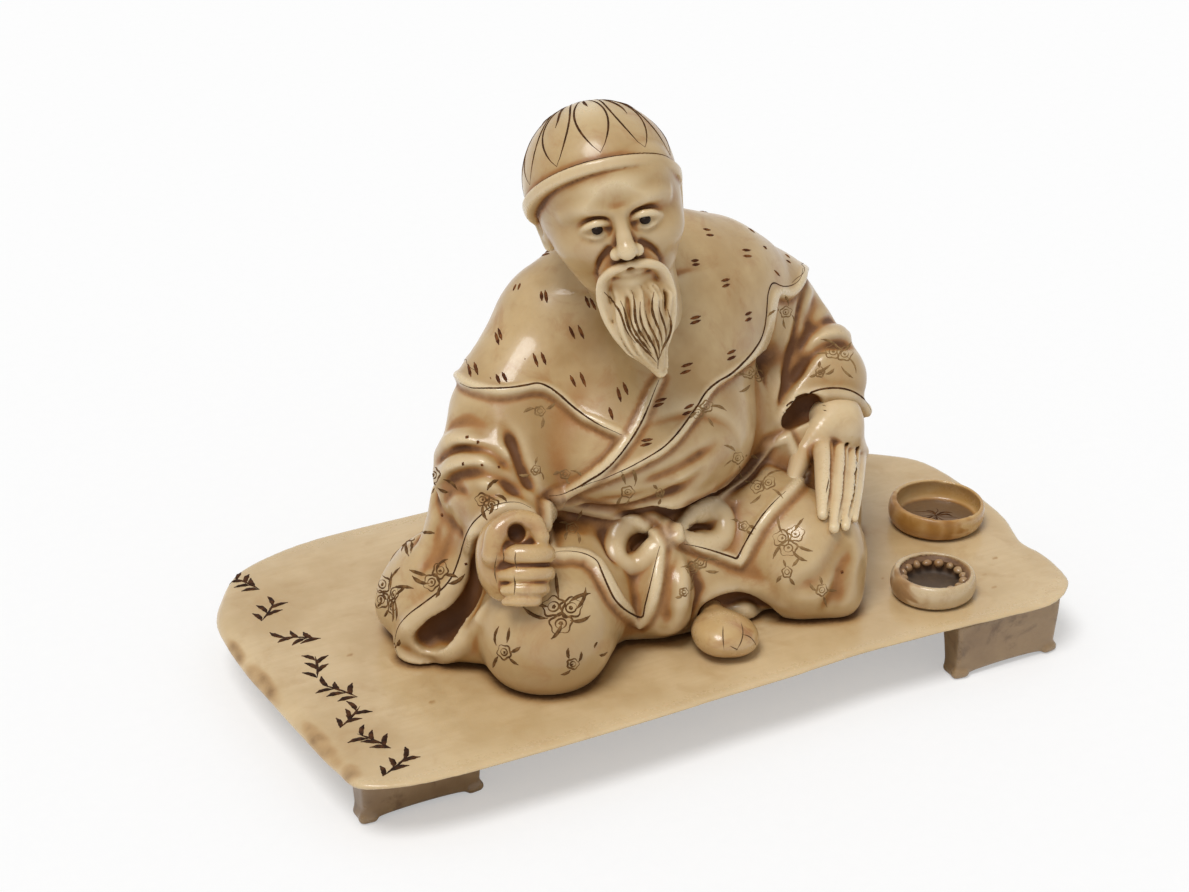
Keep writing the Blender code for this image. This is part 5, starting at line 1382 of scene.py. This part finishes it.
def cut_tree():
    """Geometry nodes that lay thin tapering lines into the surface of another piece."""
    group = bpy.data.node_groups.new("cut_lines", "GeometryNodeTree")
    for name, kind in (("Geometry", "Geometry"), ("Ground", "Object"), ("Step", "Float"), ("Sink", "Float"),
                       ("Seed", "Float"), ("Finish", "Material")):
        group.interface.new_socket(name, in_out="INPUT", socket_type="NodeSocket" + kind)
    group.interface.new_socket("Geometry", in_out="OUTPUT", socket_type="NodeSocketGeometry")
    t = Tree(group)
    given = t.inputs()
    line = t.node("GeometryNodeMeshToCurve", None, {"Mesh": given["Geometry"]})
    line = t.node("GeometryNodeResampleCurve", {"mode": "LENGTH"}, {"Curve": line, "Length": given["Step"]})
    ground = t.node("GeometryNodeObjectInfo", {"transform_space": "ORIGINAL"}, {"Object": given["Ground"]},
                    out="Geometry")
    touched = t.node("GeometryNodeProximity", {"target_element": "FACES"}, {"Geometry": ground},
                     out="Position")
    facing = t.node("GeometryNodeSampleNearestSurface", {"data_type": "FLOAT_VECTOR"}, {
        "Mesh": ground, "Value": t.node("GeometryNodeInputNormal")})
    along = t.node("GeometryNodeSplineParameter", out="Factor")
    wobble = t.node("ShaderNodeTexNoise", {"noise_dimensions": "4D"}, {"W": given["Seed"], "Scale": 900.0,
                                                                       "Detail": 2.0})
    width = t.node("GeometryNodeInputNamedAttribute", {"data_type": "FLOAT"}, {"Name": "width"},
                   out="Attribute")
    radius = width * 0.5 * (0.25 + along.least(1 - along).between(0.0, 0.3) * 0.75) * (0.7 + wobble * 0.6)
    sunk = t.node("ShaderNodeVectorMath", {"operation": "SCALE"}, {0: facing,
                                                                   "Scale": radius * given["Sink"] * -1.0})
    laid = t.node("ShaderNodeVectorMath", {"operation": "ADD"}, {0: touched, 1: sunk})
    line = t.node("GeometryNodeSetPosition", None, {"Geometry": line, "Position": laid})
    profile = t.node("GeometryNodeCurvePrimitiveCircle", {"mode": "RADIUS"},
                     {"Resolution": 6, "Radius": 1.0})
    tube = t.node("GeometryNodeCurveToMesh", None, {"Curve": line, "Profile Curve": profile,
                                                    "Scale": radius, "Fill Caps": True})
    whole = t.node("GeometryNodeRealizeInstances", None, {"Geometry": tube})
    t.node("NodeGroupOutput", None, {"Geometry": t.node("GeometryNodeSetMaterial", None, {
        "Geometry": whole, "Material": given["Finish"]})})
    return group


def bead_tree():
    """Geometry nodes that set a ring of uneven beads."""
    group = bpy.data.node_groups.new("bead_ring", "GeometryNodeTree")
    for name, kind in (("Geometry", "Geometry"), ("Count", "Int"), ("Ring", "Float"), ("Bead", "Float"),
                       ("Place", "Vector"), ("Seed", "Int"), ("Finish", "Material")):
        group.interface.new_socket(name, in_out="INPUT", socket_type="NodeSocket" + kind)
    group.interface.new_socket("Geometry", in_out="OUTPUT", socket_type="NodeSocketGeometry")
    t = Tree(group)
    given = t.inputs()
    ring = t.node("GeometryNodeMeshCircle", None, {"Vertices": given["Count"], "Radius": given["Ring"]})
    bead = t.node("GeometryNodeMeshIcoSphere", None, {"Radius": given["Bead"], "Subdivisions": 3})
    size = t.node("FunctionNodeRandomValue", {"data_type": "FLOAT_VECTOR"}, {
        "Min": (0.8, 0.8, 0.7), "Max": (1.2, 1.2, 1.0), "Seed": given["Seed"]})
    beads = t.node("GeometryNodeInstanceOnPoints", None, {"Points": ring, "Instance": bead, "Scale": size})
    whole = t.node("GeometryNodeRealizeInstances", None, {"Geometry": beads})
    whole = t.node("GeometryNodeTransform", None, {"Geometry": whole, "Translation": given["Place"]})
    smooth = t.node("GeometryNodeSetShadeSmooth", None, {"Geometry": whole})
    t.node("NodeGroupOutput", None, {"Geometry": t.node("GeometryNodeSetMaterial", None, {
        "Geometry": smooth, "Material": given["Finish"]})})
    return group


def grown(thing, group, values):
    """Runs a geometry group on an object and keeps the mesh that it makes."""
    modifier = thing.modifiers.new(group.name, "NODES")
    modifier.node_group = group
    for item in group.interface.items_tree:
        if item.in_out == "INPUT" and item.name in values:
            modifier[item.identifier] = values[item.name]
    return settled(thing)


def cut(name, lines, ground, finish, slot, sink=0.45, step=0.35):
    """Makes a piece of engraved lines, each given as its points and its width in millimetres."""
    points = [point for path, _ in lines for point in path]
    widths = [width * MM for path, width in lines for _ in path]
    edges, first = [], 0
    for path, _ in lines:
        edges += [(first + k, first + k + 1) for k in range(len(path) - 1)]
        first += len(path)
    mesh = bpy.data.meshes.new(name)
    mesh.from_pydata([tuple(v * MM for v in point) for point in points], edges, [])
    mesh.attributes.new("width", "FLOAT", "POINT").data.foreach_set("value", widths)
    thing = bpy.data.objects.new(name, mesh)
    bpy.context.scene.collection.objects.link(thing)
    grown(thing, CUT_TREE, {"Ground": ground, "Step": step * MM, "Sink": sink, "Seed": float(len(lines)),
                            "Finish": finish})
    thing.data.shade_smooth()
    return dress(thing, finish, slot)


def sprig(size, blossoms, stems):
    """A flower sprig round the origin: ringed blossoms and stems that end in leaves."""
    lines = []
    for k in range(blossoms):
        a = rng.uniform(0, 0.6) + k * 2.1
        middle = np.array([math.cos(a), math.sin(a)]) * size * 0.42 * (blossoms > 1)
        t = np.linspace(0, 2 * math.pi, 26) + a
        for reach, lobes, width in ((0.38, 0.13, 0.55), (0.19, 0.0, 0.45), (0.05, 0.0, 0.7)):
            r = size * reach * (1 + lobes * np.cos(5 * t))
            lines.append((middle + np.stack([r * np.cos(t) * 1.15, r * np.sin(t)], 1), width))
    for k in range(stems):
        a = 2 * math.pi * (k + rng.uniform(-0.25, 0.25)) / stems + 0.6
        t = np.linspace(0.38, 1.0, 8)
        way = a + rng.uniform(-1.2, 1.2) * (t - 0.38)
        length = size * rng.uniform(1.0, 1.6)
        lines.append((np.stack([np.cos(way), np.sin(way)], 1) * (t * length)[:, None], 0.9))
    return lines


def leaf_sprig(length, leaves):
    """A stem with pointed leaves on both sides, along its own y axis."""
    t = np.linspace(0, 1, 8)
    lines = [(np.stack([0.25 * np.sin(t * 3), (t - 0.5) * length], 1), 0.7)]
    for k in range(leaves):
        side = 1 if k % 2 else -1
        reach = length * rng.uniform(0.4, 0.55)
        a = math.radians(rng.uniform(28, 58))
        start = np.array([0.0, (k / leaves - 0.5) * length])
        bow = np.sin(t * math.pi) * 0.25
        leaf = np.stack([side * (math.sin(a) * t * reach - bow), math.cos(a) * t * reach + bow], 1)
        lines.append((start + leaf, 1.45))
    return lines


def turned(path, degrees):
    """A flat path turned round the origin."""
    c, n = math.cos(math.radians(degrees)), math.sin(math.radians(degrees))
    return np.asarray(path) @ np.array([[c, n], [-n, c]])


def on_picture(skin, pixel, degrees, lines):
    """Flat lines laid on the surface round a pixel."""
    found = []
    for path, width in lines:
        for run in skin.seen_at(np.array(pixel) + turned(path, degrees) * (PIXELS_PER_MM, -PIXELS_PER_MM)):
            found.append((run, width))
    return found


def on_side(skin, side, place, degrees, lines):
    """Flat lines laid on a side of the surface round a place."""
    found = []
    for path, width in lines:
        for run in skin.from_side(side, np.array(place) + turned(path, degrees)):
            found.append((run, width))
    return found


# Sprigs in the picture: pixel, size in millimetres, turn, blossoms and stems.
DARK_SPRIGS = [((434, 482), 3.0, 80, 2, 4), ((489, 498), 2.9, 170, 2, 4), ((408, 535), 3.2, 30, 1, 6),
               ((438, 578), 3.4, 60, 2, 6), ((384, 592), 3.5, 100, 2, 6), ((392, 646), 1.6, 0, 1, 2),
               ((562, 613), 4.6, 20, 3, 7), ((504, 652), 3.0, 120, 1, 5), ((573, 664), 2.4, 0, 1, 3),
               ((596, 652), 1.5, 70, 0, 2)]
FAINT_SPRIGS = [((540, 411), 2.2, 0, 1, 3), ((536, 470), 2.0, 40, 1, 3), ((565, 474), 2.0, 10, 1, 3),
                ((628, 492), 2.6, 0, 1, 4), ((660, 493), 1.8, 90, 1, 2), ((704, 412), 2.6, 30, 2, 3),
                ((752, 378), 2.6, 0, 2, 3), ((738, 458), 2.4, 60, 1, 4), ((786, 312), 2.4, 20, 1, 4),
                ((838, 357), 3.2, 10, 2, 6), ((820, 372), 2.0, 80, 1, 3), ((572, 528), 2.4, 0, 1, 4),
                ((764, 487), 2.8, 40, 2, 4), ((744, 526), 2.2, 0, 1, 3), ((790, 540), 3.6, 15, 3, 5),
                ((787, 572), 2.2, 90, 1, 4), ((698, 568), 2.6, 30, 2, 4), ((684, 592), 1.8, 0, 1, 2),
                ((822, 590), 2.4, 60, 1, 4)]
# Sprigs where the photograph doesn't reach: side, two coordinates in millimetres, size, turn, blossoms
# and stems.
HIDDEN_SPRIGS = [("back", (-22, 30), 3.4, 10, 2, 6), ("back", (-10, 20), 3.2, 60, 2, 5),
                 ("back", (3, 33), 3.4, 120, 2, 6), ("back", (12, 19), 3.0, 30, 1, 5),
                 ("back", (24, 31), 3.4, 80, 2, 6), ("back", (-33, 22), 3.0, 20, 1, 5),
                 ("back", (35, 22), 3.0, 140, 1, 5), ("right", (10, 30), 3.2, 0, 2, 6),
                 ("right", (-2, 26), 2.8, 70, 1, 5), ("right", (19, 22), 3.0, 30, 2, 5),
                 ("left", (8, 28), 3.2, 20, 2, 6), ("left", (-2, 22), 3.0, 90, 2, 5),
                 ("left", (14, 46), 3.0, 40, 1, 5), ("right", (12, 52), 2.8, 10, 1, 5)]

RIM_WIDTH, DASH_WIDTH, DOT_WIDTH, STRAND_WIDTH, CRACK_WIDTH = 0.44, 0.75, 0.9, 0.55, 0.26


def rim_lines(skin):
    """The thin line inside each hem, also round the cape's unseen back."""
    lines = [(run, RIM_WIDTH) for path in RIM_LINES for run in skin.seen_at(curve(path, 6))]
    angles = np.radians(np.linspace(-6, 188, 240))
    outward = np.stack([np.cos(angles), np.sin(angles), 0 * angles], 1)
    heights = hem_height(np.degrees(angles)) + BAND["cape"] + 0.4
    starts = np.stack([3 + 90 * outward[:, 0], 6 + 90 * outward[:, 1], heights], 1)
    unseen = [run for run in skin.runs(starts, -outward, 1.6) if len(run) > 4]
    return lines + [(run, RIM_WIDTH) for run in unseen]


SLEEVE_DOTS = [(467, 437), (478, 442), (463, 464), (482, 465), (499, 467), (442, 515), (466, 564),
               (842, 572)]


def dash_lines(skin):
    """The short cuts in pairs all over the cape."""
    t = np.linspace(0, 1, 5)[:, None]
    lines = []
    for start, end in LEFT_DASHES + RIGHT_DASHES:
        a, b = np.array(start, float), np.array(end, float)
        lines += [(run, DASH_WIDTH) for run in skin.seen_at(a * (1 - t) + b * t)]
    for dot in SLEEVE_DOTS:
        lines += [(run, DOT_WIDTH) for run in skin.seen_at(np.array(dot) + t * (3.0, 2.0) - (1.5, 1.0))]
    for row in range(4):
        for column in range(7):
            x, z = -25 + column * 8.4 + (row % 2) * 4.2, 56 + row * 6.5
            if z < hem_height(math.degrees(math.atan2(24, x - 3))) + 4:
                continue
            pair = [(np.stack([0 * t[:, 0] + side * 0.45, (t[:, 0] - 0.5) * 2.1], 1), DASH_WIDTH)
                    for side in (-1, 1)]
            lines += on_side(skin, "back", (x, z), 90 * ((row + column) % 2), pair)
    return lines


CAP_LEAF_TOP = 15.0          # degrees from the cap's axis to a leaf's top
CAP_LEAF_HALF = 0.25         # half of a leaf's width, in radians round that axis


def cap_lines():
    """Pointed leaves round the cap's crown and a line along the top of its rim, in the head's own frame."""
    axis = CAP_RIM
    across = np.array([1.0, 0, 0])
    deep = np.cross(axis, across)
    middle, radii = np.array(CAP_MIDDLE), np.array(CAP_RADII)

    def on_cap(polar, around):
        d = math.cos(polar) * axis + math.sin(polar) * (math.cos(around) * across + math.sin(around) * deep)
        return middle + d / np.linalg.norm(d / radii)

    def rim_polar(around, rise):
        polars = np.linspace(0.2, 2.2, 160)
        over = np.array([CAP_RIM @ on_cap(p, around) - CAP_RIM_AT for p in polars])
        return float(polars[np.argmin(np.abs(over - rise))])

    lines = []
    for k in range(CAP_LEAVES):
        around = 2 * math.pi * (k + 0.3) / CAP_LEAVES
        tip, base = rim_polar(around, CAP_RIM_WIDTH + 1.2), math.radians(CAP_LEAF_TOP)
        t = np.linspace(0, 1, 14)
        polar = base + (tip - base) * t
        for side in (-1, 1):
            bulge = side * CAP_LEAF_HALF * np.sin(math.pi * np.clip(t * 0.92 + 0.08, 0, 1)) ** 0.8
            lines.append(([on_cap(p, around + b) for p, b in zip(polar, bulge)], 0.46))
        vein = base + (tip - base) * np.linspace(0.1, 0.36 + 0.2 * (k % 2), 6)
        lines.append(([on_cap(p, around + 0.03 * math.sin(9 * p)) for p in vein], 0.66))
    turns = np.linspace(0, 2 * math.pi, 120)
    lines.append(([on_cap(rim_polar(a, CAP_RIM_WIDTH + 0.1), a) for a in turns], 0.5))
    lines.append(([on_cap(math.radians(CAP_LEAF_TOP), a) for a in turns[::4]], 0.26))
    return [((np.array(path) @ HEAD_LEAN.T + HEAD_PLACE).tolist(), width) for path, width in lines]


# A row of leaf sprigs along the board's left end: pixel, turn and leaves.
LEFT_END_SPRIGS = [((246, 583), 20, 5), ((268, 611), -40, 4), ((300, 638), 60, 5), ((316, 667), -20, 4),
                   ((340, 691), 30, 5), ((350, 717), -50, 4), ((374, 741), 25, 5), ((396, 765), -60, 4)]

SPRIG_LENGTH = 7.4


def board_lines():
    """The leaf sprigs on the board's left end."""
    lines = []
    for pixel, degrees, leaves in LEFT_END_SPRIGS:
        place = plane_point(pixel, 2, BOARD_TOP)
        for path, width in leaf_sprig(SPRIG_LENGTH, leaves + 1):
            q = place[:2] + turned(path, degrees)
            lines.append((np.column_stack([q, np.full(len(q), BOARD_TOP)]).tolist(), width))
    return lines


# Fine cracks in the yellowed hand and foot and in the open hand, in pixels.
FIST_CRACKS = [[(505, 545), (503, 551), (504, 557), (503, 563)], [(497, 555), (495, 565), (495, 575),
                                                                  (497, 583)], [(516, 551), (515, 560),
                                                                                (517, 570)], [(514, 575),
                                                                                              (515, 586),
                                                                                              (514, 595)]]
TOE_CRACKS = [[(723, 626), (723, 638), (724, 650)], [(741, 622), (743, 632), (741, 642), (736, 651)],
              [(741, 634), (750, 637), (756, 645), (757, 652)], [(730, 646), (738, 650)]]
HAND_CRACKS = [[(829, 478), (828, 484), (826, 493)], [(822, 405), (826, 406)], [(823, 410), (827, 411)]]

BEARD_STRANDS = 9
BEARD_STRAND_ENDS = (0.72, 0.96, 0.82)


def beard_lines(skin):
    """Dark wavy cuts between the locks of the beard, in the picture."""
    lines = []
    t = np.linspace(0, 1, 14)
    for k in range(BEARD_STRANDS):
        u = 2 * k / (BEARD_STRANDS - 1) - 1
        from_top = 0.12 * (k % 3)
        d = from_top + (BEARD_STRAND_ENDS[k % 3] - from_top) * t
        x = 637 + (30 * (1 - d) ** 0.8 + 3) * u + 21 * d + 3.4 * np.sin(7.5 * d + 0.5 * k)
        strand = np.stack([x, 292 + (80 - 9 * abs(u)) * d], 1)
        lines += [(run, STRAND_WIDTH) for run in skin.seen_at(strand)]
    return lines


def crack_lines(skin, cracks):
    return [(run, CRACK_WIDTH) for path in cracks for run in skin.seen_at(curve(path, 5))]


def bowl_cracks(skin, node):
    """Cracks that spread from the dark middle of a bowl's floor."""
    low, high = (np.array(v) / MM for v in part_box(node))
    middle = ((low + high) / 2)[:2]
    lines = []
    for k in range(13):
        a = 2 * math.pi * (k + rng.uniform(-0.3, 0.3)) / 13
        t = np.linspace(0.02, 1, 8)
        way = a + 0.25 * np.sin(t * 4 + k)
        reach = rng.uniform(1.6, 4.6)
        path = middle + np.stack([np.cos(way), np.sin(way)], 1) * (t * reach)[:, None]
        lines += [(run, 0.3 if k % 3 else 0.7) for run in skin.from_side("top", path)]
    return lines


def floor_paper():
    """White paper: it shows lit floor as white to the camera and keeps the shadow."""
    m, t = new_material("floor_paper")
    fibre = t.noise(millimetres(t), 0.4, 3.0)
    white = t.mix(fibre, (0.9, 0.9, 0.9, 1), (0.93, 0.93, 0.93, 1))
    diffuse = t.node("ShaderNodeBsdfDiffuse", None, {"Color": white})
    light = t.node("ShaderNodeEmission", None, {"Color": (1, 1, 1, 1), "Strength": 1.0})
    seen = t.node("ShaderNodeLightPath", out="Is Camera Ray")
    both = t.node("ShaderNodeMixShader", None, {0: seen * 0.4, 1: diffuse, 2: light})
    t.node("ShaderNodeOutputMaterial", None, {"Surface": both})
    return m


FILL = 0.5                   # strength of the light from all round
GLOSSY_WHITE = 0.3           # how much of the white background the polish shows
KEY, KEY_FROM = 1.9, (-0.35, -0.2, 1.0)
FLOOR_HALF = 3000


def world_light():
    """White to the camera, and a weaker even light on the object."""
    world = bpy.data.worlds.new("studio")
    world.use_nodes = True
    bpy.context.scene.world = world
    t = Tree(world.node_tree)
    rays = t.node("ShaderNodeLightPath").socket.node.outputs
    camera, glossy, clear = (Wire(t, rays[k]) for k in ("Is Camera Ray", "Is Glossy Ray",
                                                        "Is Transmission Ray"))
    white = t.node("ShaderNodeBackground", None, {"Color": (1, 1, 1, 1), "Strength": 1.0})
    fill = t.node("ShaderNodeBackground", None, {"Color": (1, 1, 1, 1), "Strength": FILL})
    factor = camera.most(glossy * GLOSSY_WHITE).most(clear)
    both = t.node("ShaderNodeMixShader", None, {0: factor, 1: fill, 2: white})
    t.node("ShaderNodeOutputWorld", None, {"Surface": both})


def studio():
    corners = [(x * FLOOR_HALF, y * FLOOR_HALF, 0) for x, y in ((-1, -1), (1, -1), (1, 1), (-1, 1))]
    floor = mesh_object("floor", corners, [(0, 1, 2, 3)])
    floor.data.materials.append(floor_paper())
    world_light()
    sun = bpy.data.lights.new("soft_lamp", "SUN")
    sun.energy, sun.angle = KEY, 0.45
    lamp = bpy.data.objects.new("soft_lamp", sun)
    lamp.rotation_euler = Vector(KEY_FROM).to_track_quat("Z", "Y").to_euler()
    bpy.context.scene.collection.objects.link(lamp)
    lens = bpy.data.cameras.new("view")
    lens.lens, lens.sensor_width, lens.sensor_fit = LENS, SENSOR, "HORIZONTAL"
    lens.clip_start, lens.clip_end = 0.01, 20
    camera = bpy.data.objects.new("view", lens)
    pose = Matrix(np.stack([eye.right, eye.up, -eye.ahead], 1).tolist()).to_4x4()
    pose.translation = Vector((eye.place * MM).tolist())
    camera.matrix_world = pose
    bpy.context.scene.collection.objects.link(camera)
    bpy.context.scene.camera = camera
    bpy.context.scene.view_settings.view_transform = "Standard"


def aged_bowl(surface, node, inside, low_floor, patch, inner):
    """Marks a bowl's floor, its stained inside and a patch outside: strength, middle and half width."""
    low, high = (np.array(v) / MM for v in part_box(node))
    x, y = (surface.p[:, :2] - ((low + high) / 2)[:2]).T
    r, z = np.hypot(x, y), surface.p[:, 2]
    floor = ease(low[2] + low_floor + 1.6, low[2] + low_floor, z)
    surface.extra["zone"] = ease(inside + 0.4, inside - 0.4, r) * floor
    strength, middle, half = patch
    away = np.abs((np.degrees(np.arctan2(y, x)) - middle + 180) % 360 - 180)
    ragged = 9 * np.sin(z * 2.1 + x) + 5 * np.sin(z * 4.3 - 2 * y)
    outer = strength * ease(half + 14, half - 10, away + ragged) * (0.8 + 0.2 * np.sin(3 * x + y))
    within = inner * ease(inside + 0.8, inside - 0.2, r) * (z < high[2] - 0.5)
    surface.stain = np.maximum(surface.stain, np.maximum(outer, within))
    return surface


STEPS = {"robe": (0.8, 0.46), "head": (0.42, 0.28), "fist": (0.4, 0.24), "toes": (0.4, 0.24),
         "hand": (0.42, 0.27), "board": (1.2, 0.6), "foot": (0.45, 0.3)}
BOWL_STEP = 0.3
BOWL_FLOOR = 0.9             # thickness of a bowl's floor
BEAD_COUNT, BEAD_RING, BEAD_RADIUS = 16, 5.55, 0.85
BEAD_HEIGHT = 2.9            # above the board, on the ledge's inner edge


def step_of(part):
    return STEPS[part][1]


def pupil(node):
    low, high = (np.array(v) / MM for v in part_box(node))
    middle, radii = (low + high) / 2, (high - low) / 2
    c = Clay(low - 0.5, high + 0.5, 0.09)
    c.join(egg(middle, radii), 0)
    c.join(egg(middle - (0, radii[1] * 1.9, 0), radii), 0.1, cut=True)
    return Surface(c)


CUT_TREE, BEAD_TREE = cut_tree(), bead_tree()
pigment = cut_line("line_pigment", tone(58, 34, 16), tone(96, 62, 32), 1)
dash_pigment = cut_line("dash_pigment", tone(74, 38, 18), tone(126, 78, 40), 2)
sprig_pigment = cut_line("sprig_pigment", tone(86, 58, 30), tone(128, 94, 56), 3)
faint_pigment = cut_line("faint_pigment", tone(128, 98, 62), tone(154, 124, 82), 4)
board_pigment = cut_line("board_pigment", tone(44, 26, 16), tone(84, 52, 30), 5)
crack_grime = cut_line("crack_grime", tone(84, 62, 40), tone(134, 104, 68), 6)

cloth, robe_surf = robe_surface(step_of("robe"))
robe_piece = piece("robe", robe_surf, robe_ivory(), "cream_ivory", "figure_body")
robe_skin = Skin(robe_surf)
cut("hem_lines", rim_lines(robe_skin), robe_piece, pigment, "cream_ivory")
cut("cape_dashes", dash_lines(robe_skin), robe_piece, dash_pigment, "cream_ivory", sink=0.5, step=0.25)
dark = [line for pixel, size, degrees, blossoms, stems in DARK_SPRIGS
        for line in on_picture(robe_skin, pixel, degrees, sprig(size, blossoms, stems))]
dark += [line for side, place, size, degrees, blossoms, stems in HIDDEN_SPRIGS
         for line in on_side(robe_skin, side, place, degrees, sprig(size, blossoms, stems))]
cut("dark_sprigs", dark, robe_piece, sprig_pigment, "cream_ivory", sink=0.6, step=0.25)
faint = [line for pixel, size, degrees, blossoms, stems in FAINT_SPRIGS
         for line in on_picture(robe_skin, pixel, degrees, sprig(size, blossoms, stems))]
cut("faint_sprigs", faint, robe_piece, faint_pigment, "cream_ivory", sink=0.7, step=0.25)

head_surf = placed(Surface(head(step_of("head"))), HEAD_PLACE, HEAD_LEAN)
head_piece = piece("head_and_beard", head_surf, head_ivory(), "cream_ivory", "head")
cut("cap_lines", cap_lines(), head_piece, pigment, "cream_ivory")
cut("beard_lines", beard_lines(Skin(head_surf)), head_piece, sprig_pigment, "cream_ivory", sink=0.5)

yellow = fist_ivory()
fist_surf = placed(Surface(fist(step_of("fist"))), plane_point(FIST_PIXEL, 1, FIST_LEVEL), FIST_FRAME)
fist_piece = piece("closed_hand", fist_surf, yellow, "yellowed_ivory", "right_hand")
cut("fist_cracks", crack_lines(Skin(fist_surf), FIST_CRACKS), fist_piece, crack_grime, "yellowed_ivory")
toe_surf = Surface(bare_foot(step_of("toes")))
toe_piece = piece("toes", toe_surf, yellow, "yellowed_ivory", "bare_foot")
cut("toe_cracks", crack_lines(Skin(toe_surf), TOE_CRACKS), toe_piece, crack_grime, "yellowed_ivory")
hand_surf = Surface(open_hand(step_of("hand")))
hand_piece = piece("laid_hand", hand_surf, hand_ivory(), "cream_ivory", "left_hand")
cut("hand_cracks", crack_lines(Skin(hand_surf), HAND_CRACKS), hand_piece, crack_grime, "cream_ivory")

slab = piece("board", board_surface(step_of("board"), cloth), board_ivory(), "tan_ivory", "base_board")
cut("board_leaves", board_lines(), slab, board_pigment, "tan_ivory", sink=0.65, step=0.3)
# Brackets: the board's ivory with painted shade.
shaded_foot_finish = foot_ivory()
for node, place in FOOT_PLACES.items():
    foot_surf = Surface(foot(step_of("foot"), place))
    piece(node.replace("foot", "bracket"), foot_surf, shaded_foot_finish, "tan_ivory", node)

large_box, small_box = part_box("large_bowl"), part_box("small_bowl")
large = Surface(bowl(BOWL_STEP, *large_box, rim=8.5, base=8.2, wall=0.9, floor=BOWL_FLOOR, tilt=0.5))
aged_bowl(large, "large_bowl", inside=7.4, low_floor=BOWL_FLOOR, patch=(0.44, 205, 64), inner=0.42)
large_piece = piece("amber_bowl", large, amber_bowl_ivory(), "amber_ivory", "large_bowl")
cut("bowl_cracks", bowl_cracks(Skin(large), "large_bowl"), large_piece, pigment, "amber_ivory", sink=0.6)
pale_finish = pale_bowl_ivory()
small = Surface(bowl(BOWL_STEP, *small_box, rim=7.0, base=7.2, wall=0.9, floor=BOWL_FLOOR, tilt=0.2,
                     shoulder=1.2))
aged_bowl(small, "small_bowl", inside=6.3, low_floor=BOWL_FLOOR, patch=(0.5, 178, 26), inner=0.8)
piece("pale_bowl", small, pale_finish, "pale_ivory", "small_bowl")

bead_finish = bead_ivory()
low, high = small_box
bead_place = ((low[0] + high[0]) / 2, (low[1] + high[1]) / 2, low[2] + BEAD_HEIGHT * MM)
bead_mesh = bpy.data.meshes.new("bead_ring")
beads = bpy.data.objects.new("bead_ring", bead_mesh)
bpy.context.scene.collection.objects.link(beads)
grown(beads, BEAD_TREE, {"Count": BEAD_COUNT, "Ring": BEAD_RING * MM, "Bead": BEAD_RADIUS * MM,
                         "Place": bead_place, "Seed": 4, "Finish": bead_finish})
dress(beads, bead_finish, "pale_ivory")

horn = pupil_horn()
for node in ("eye_inlay_left", "eye_inlay_right"):
    piece(node.replace("eye_inlay", "pupil"), pupil(node), horn, "dark_horn", node)

peg_finish = peg_ivory()
for name, node in frame["nodes"].items():
    if "peg" in name:
        for slot in node.material_slots:
            slot.material = peg_finish

studio()
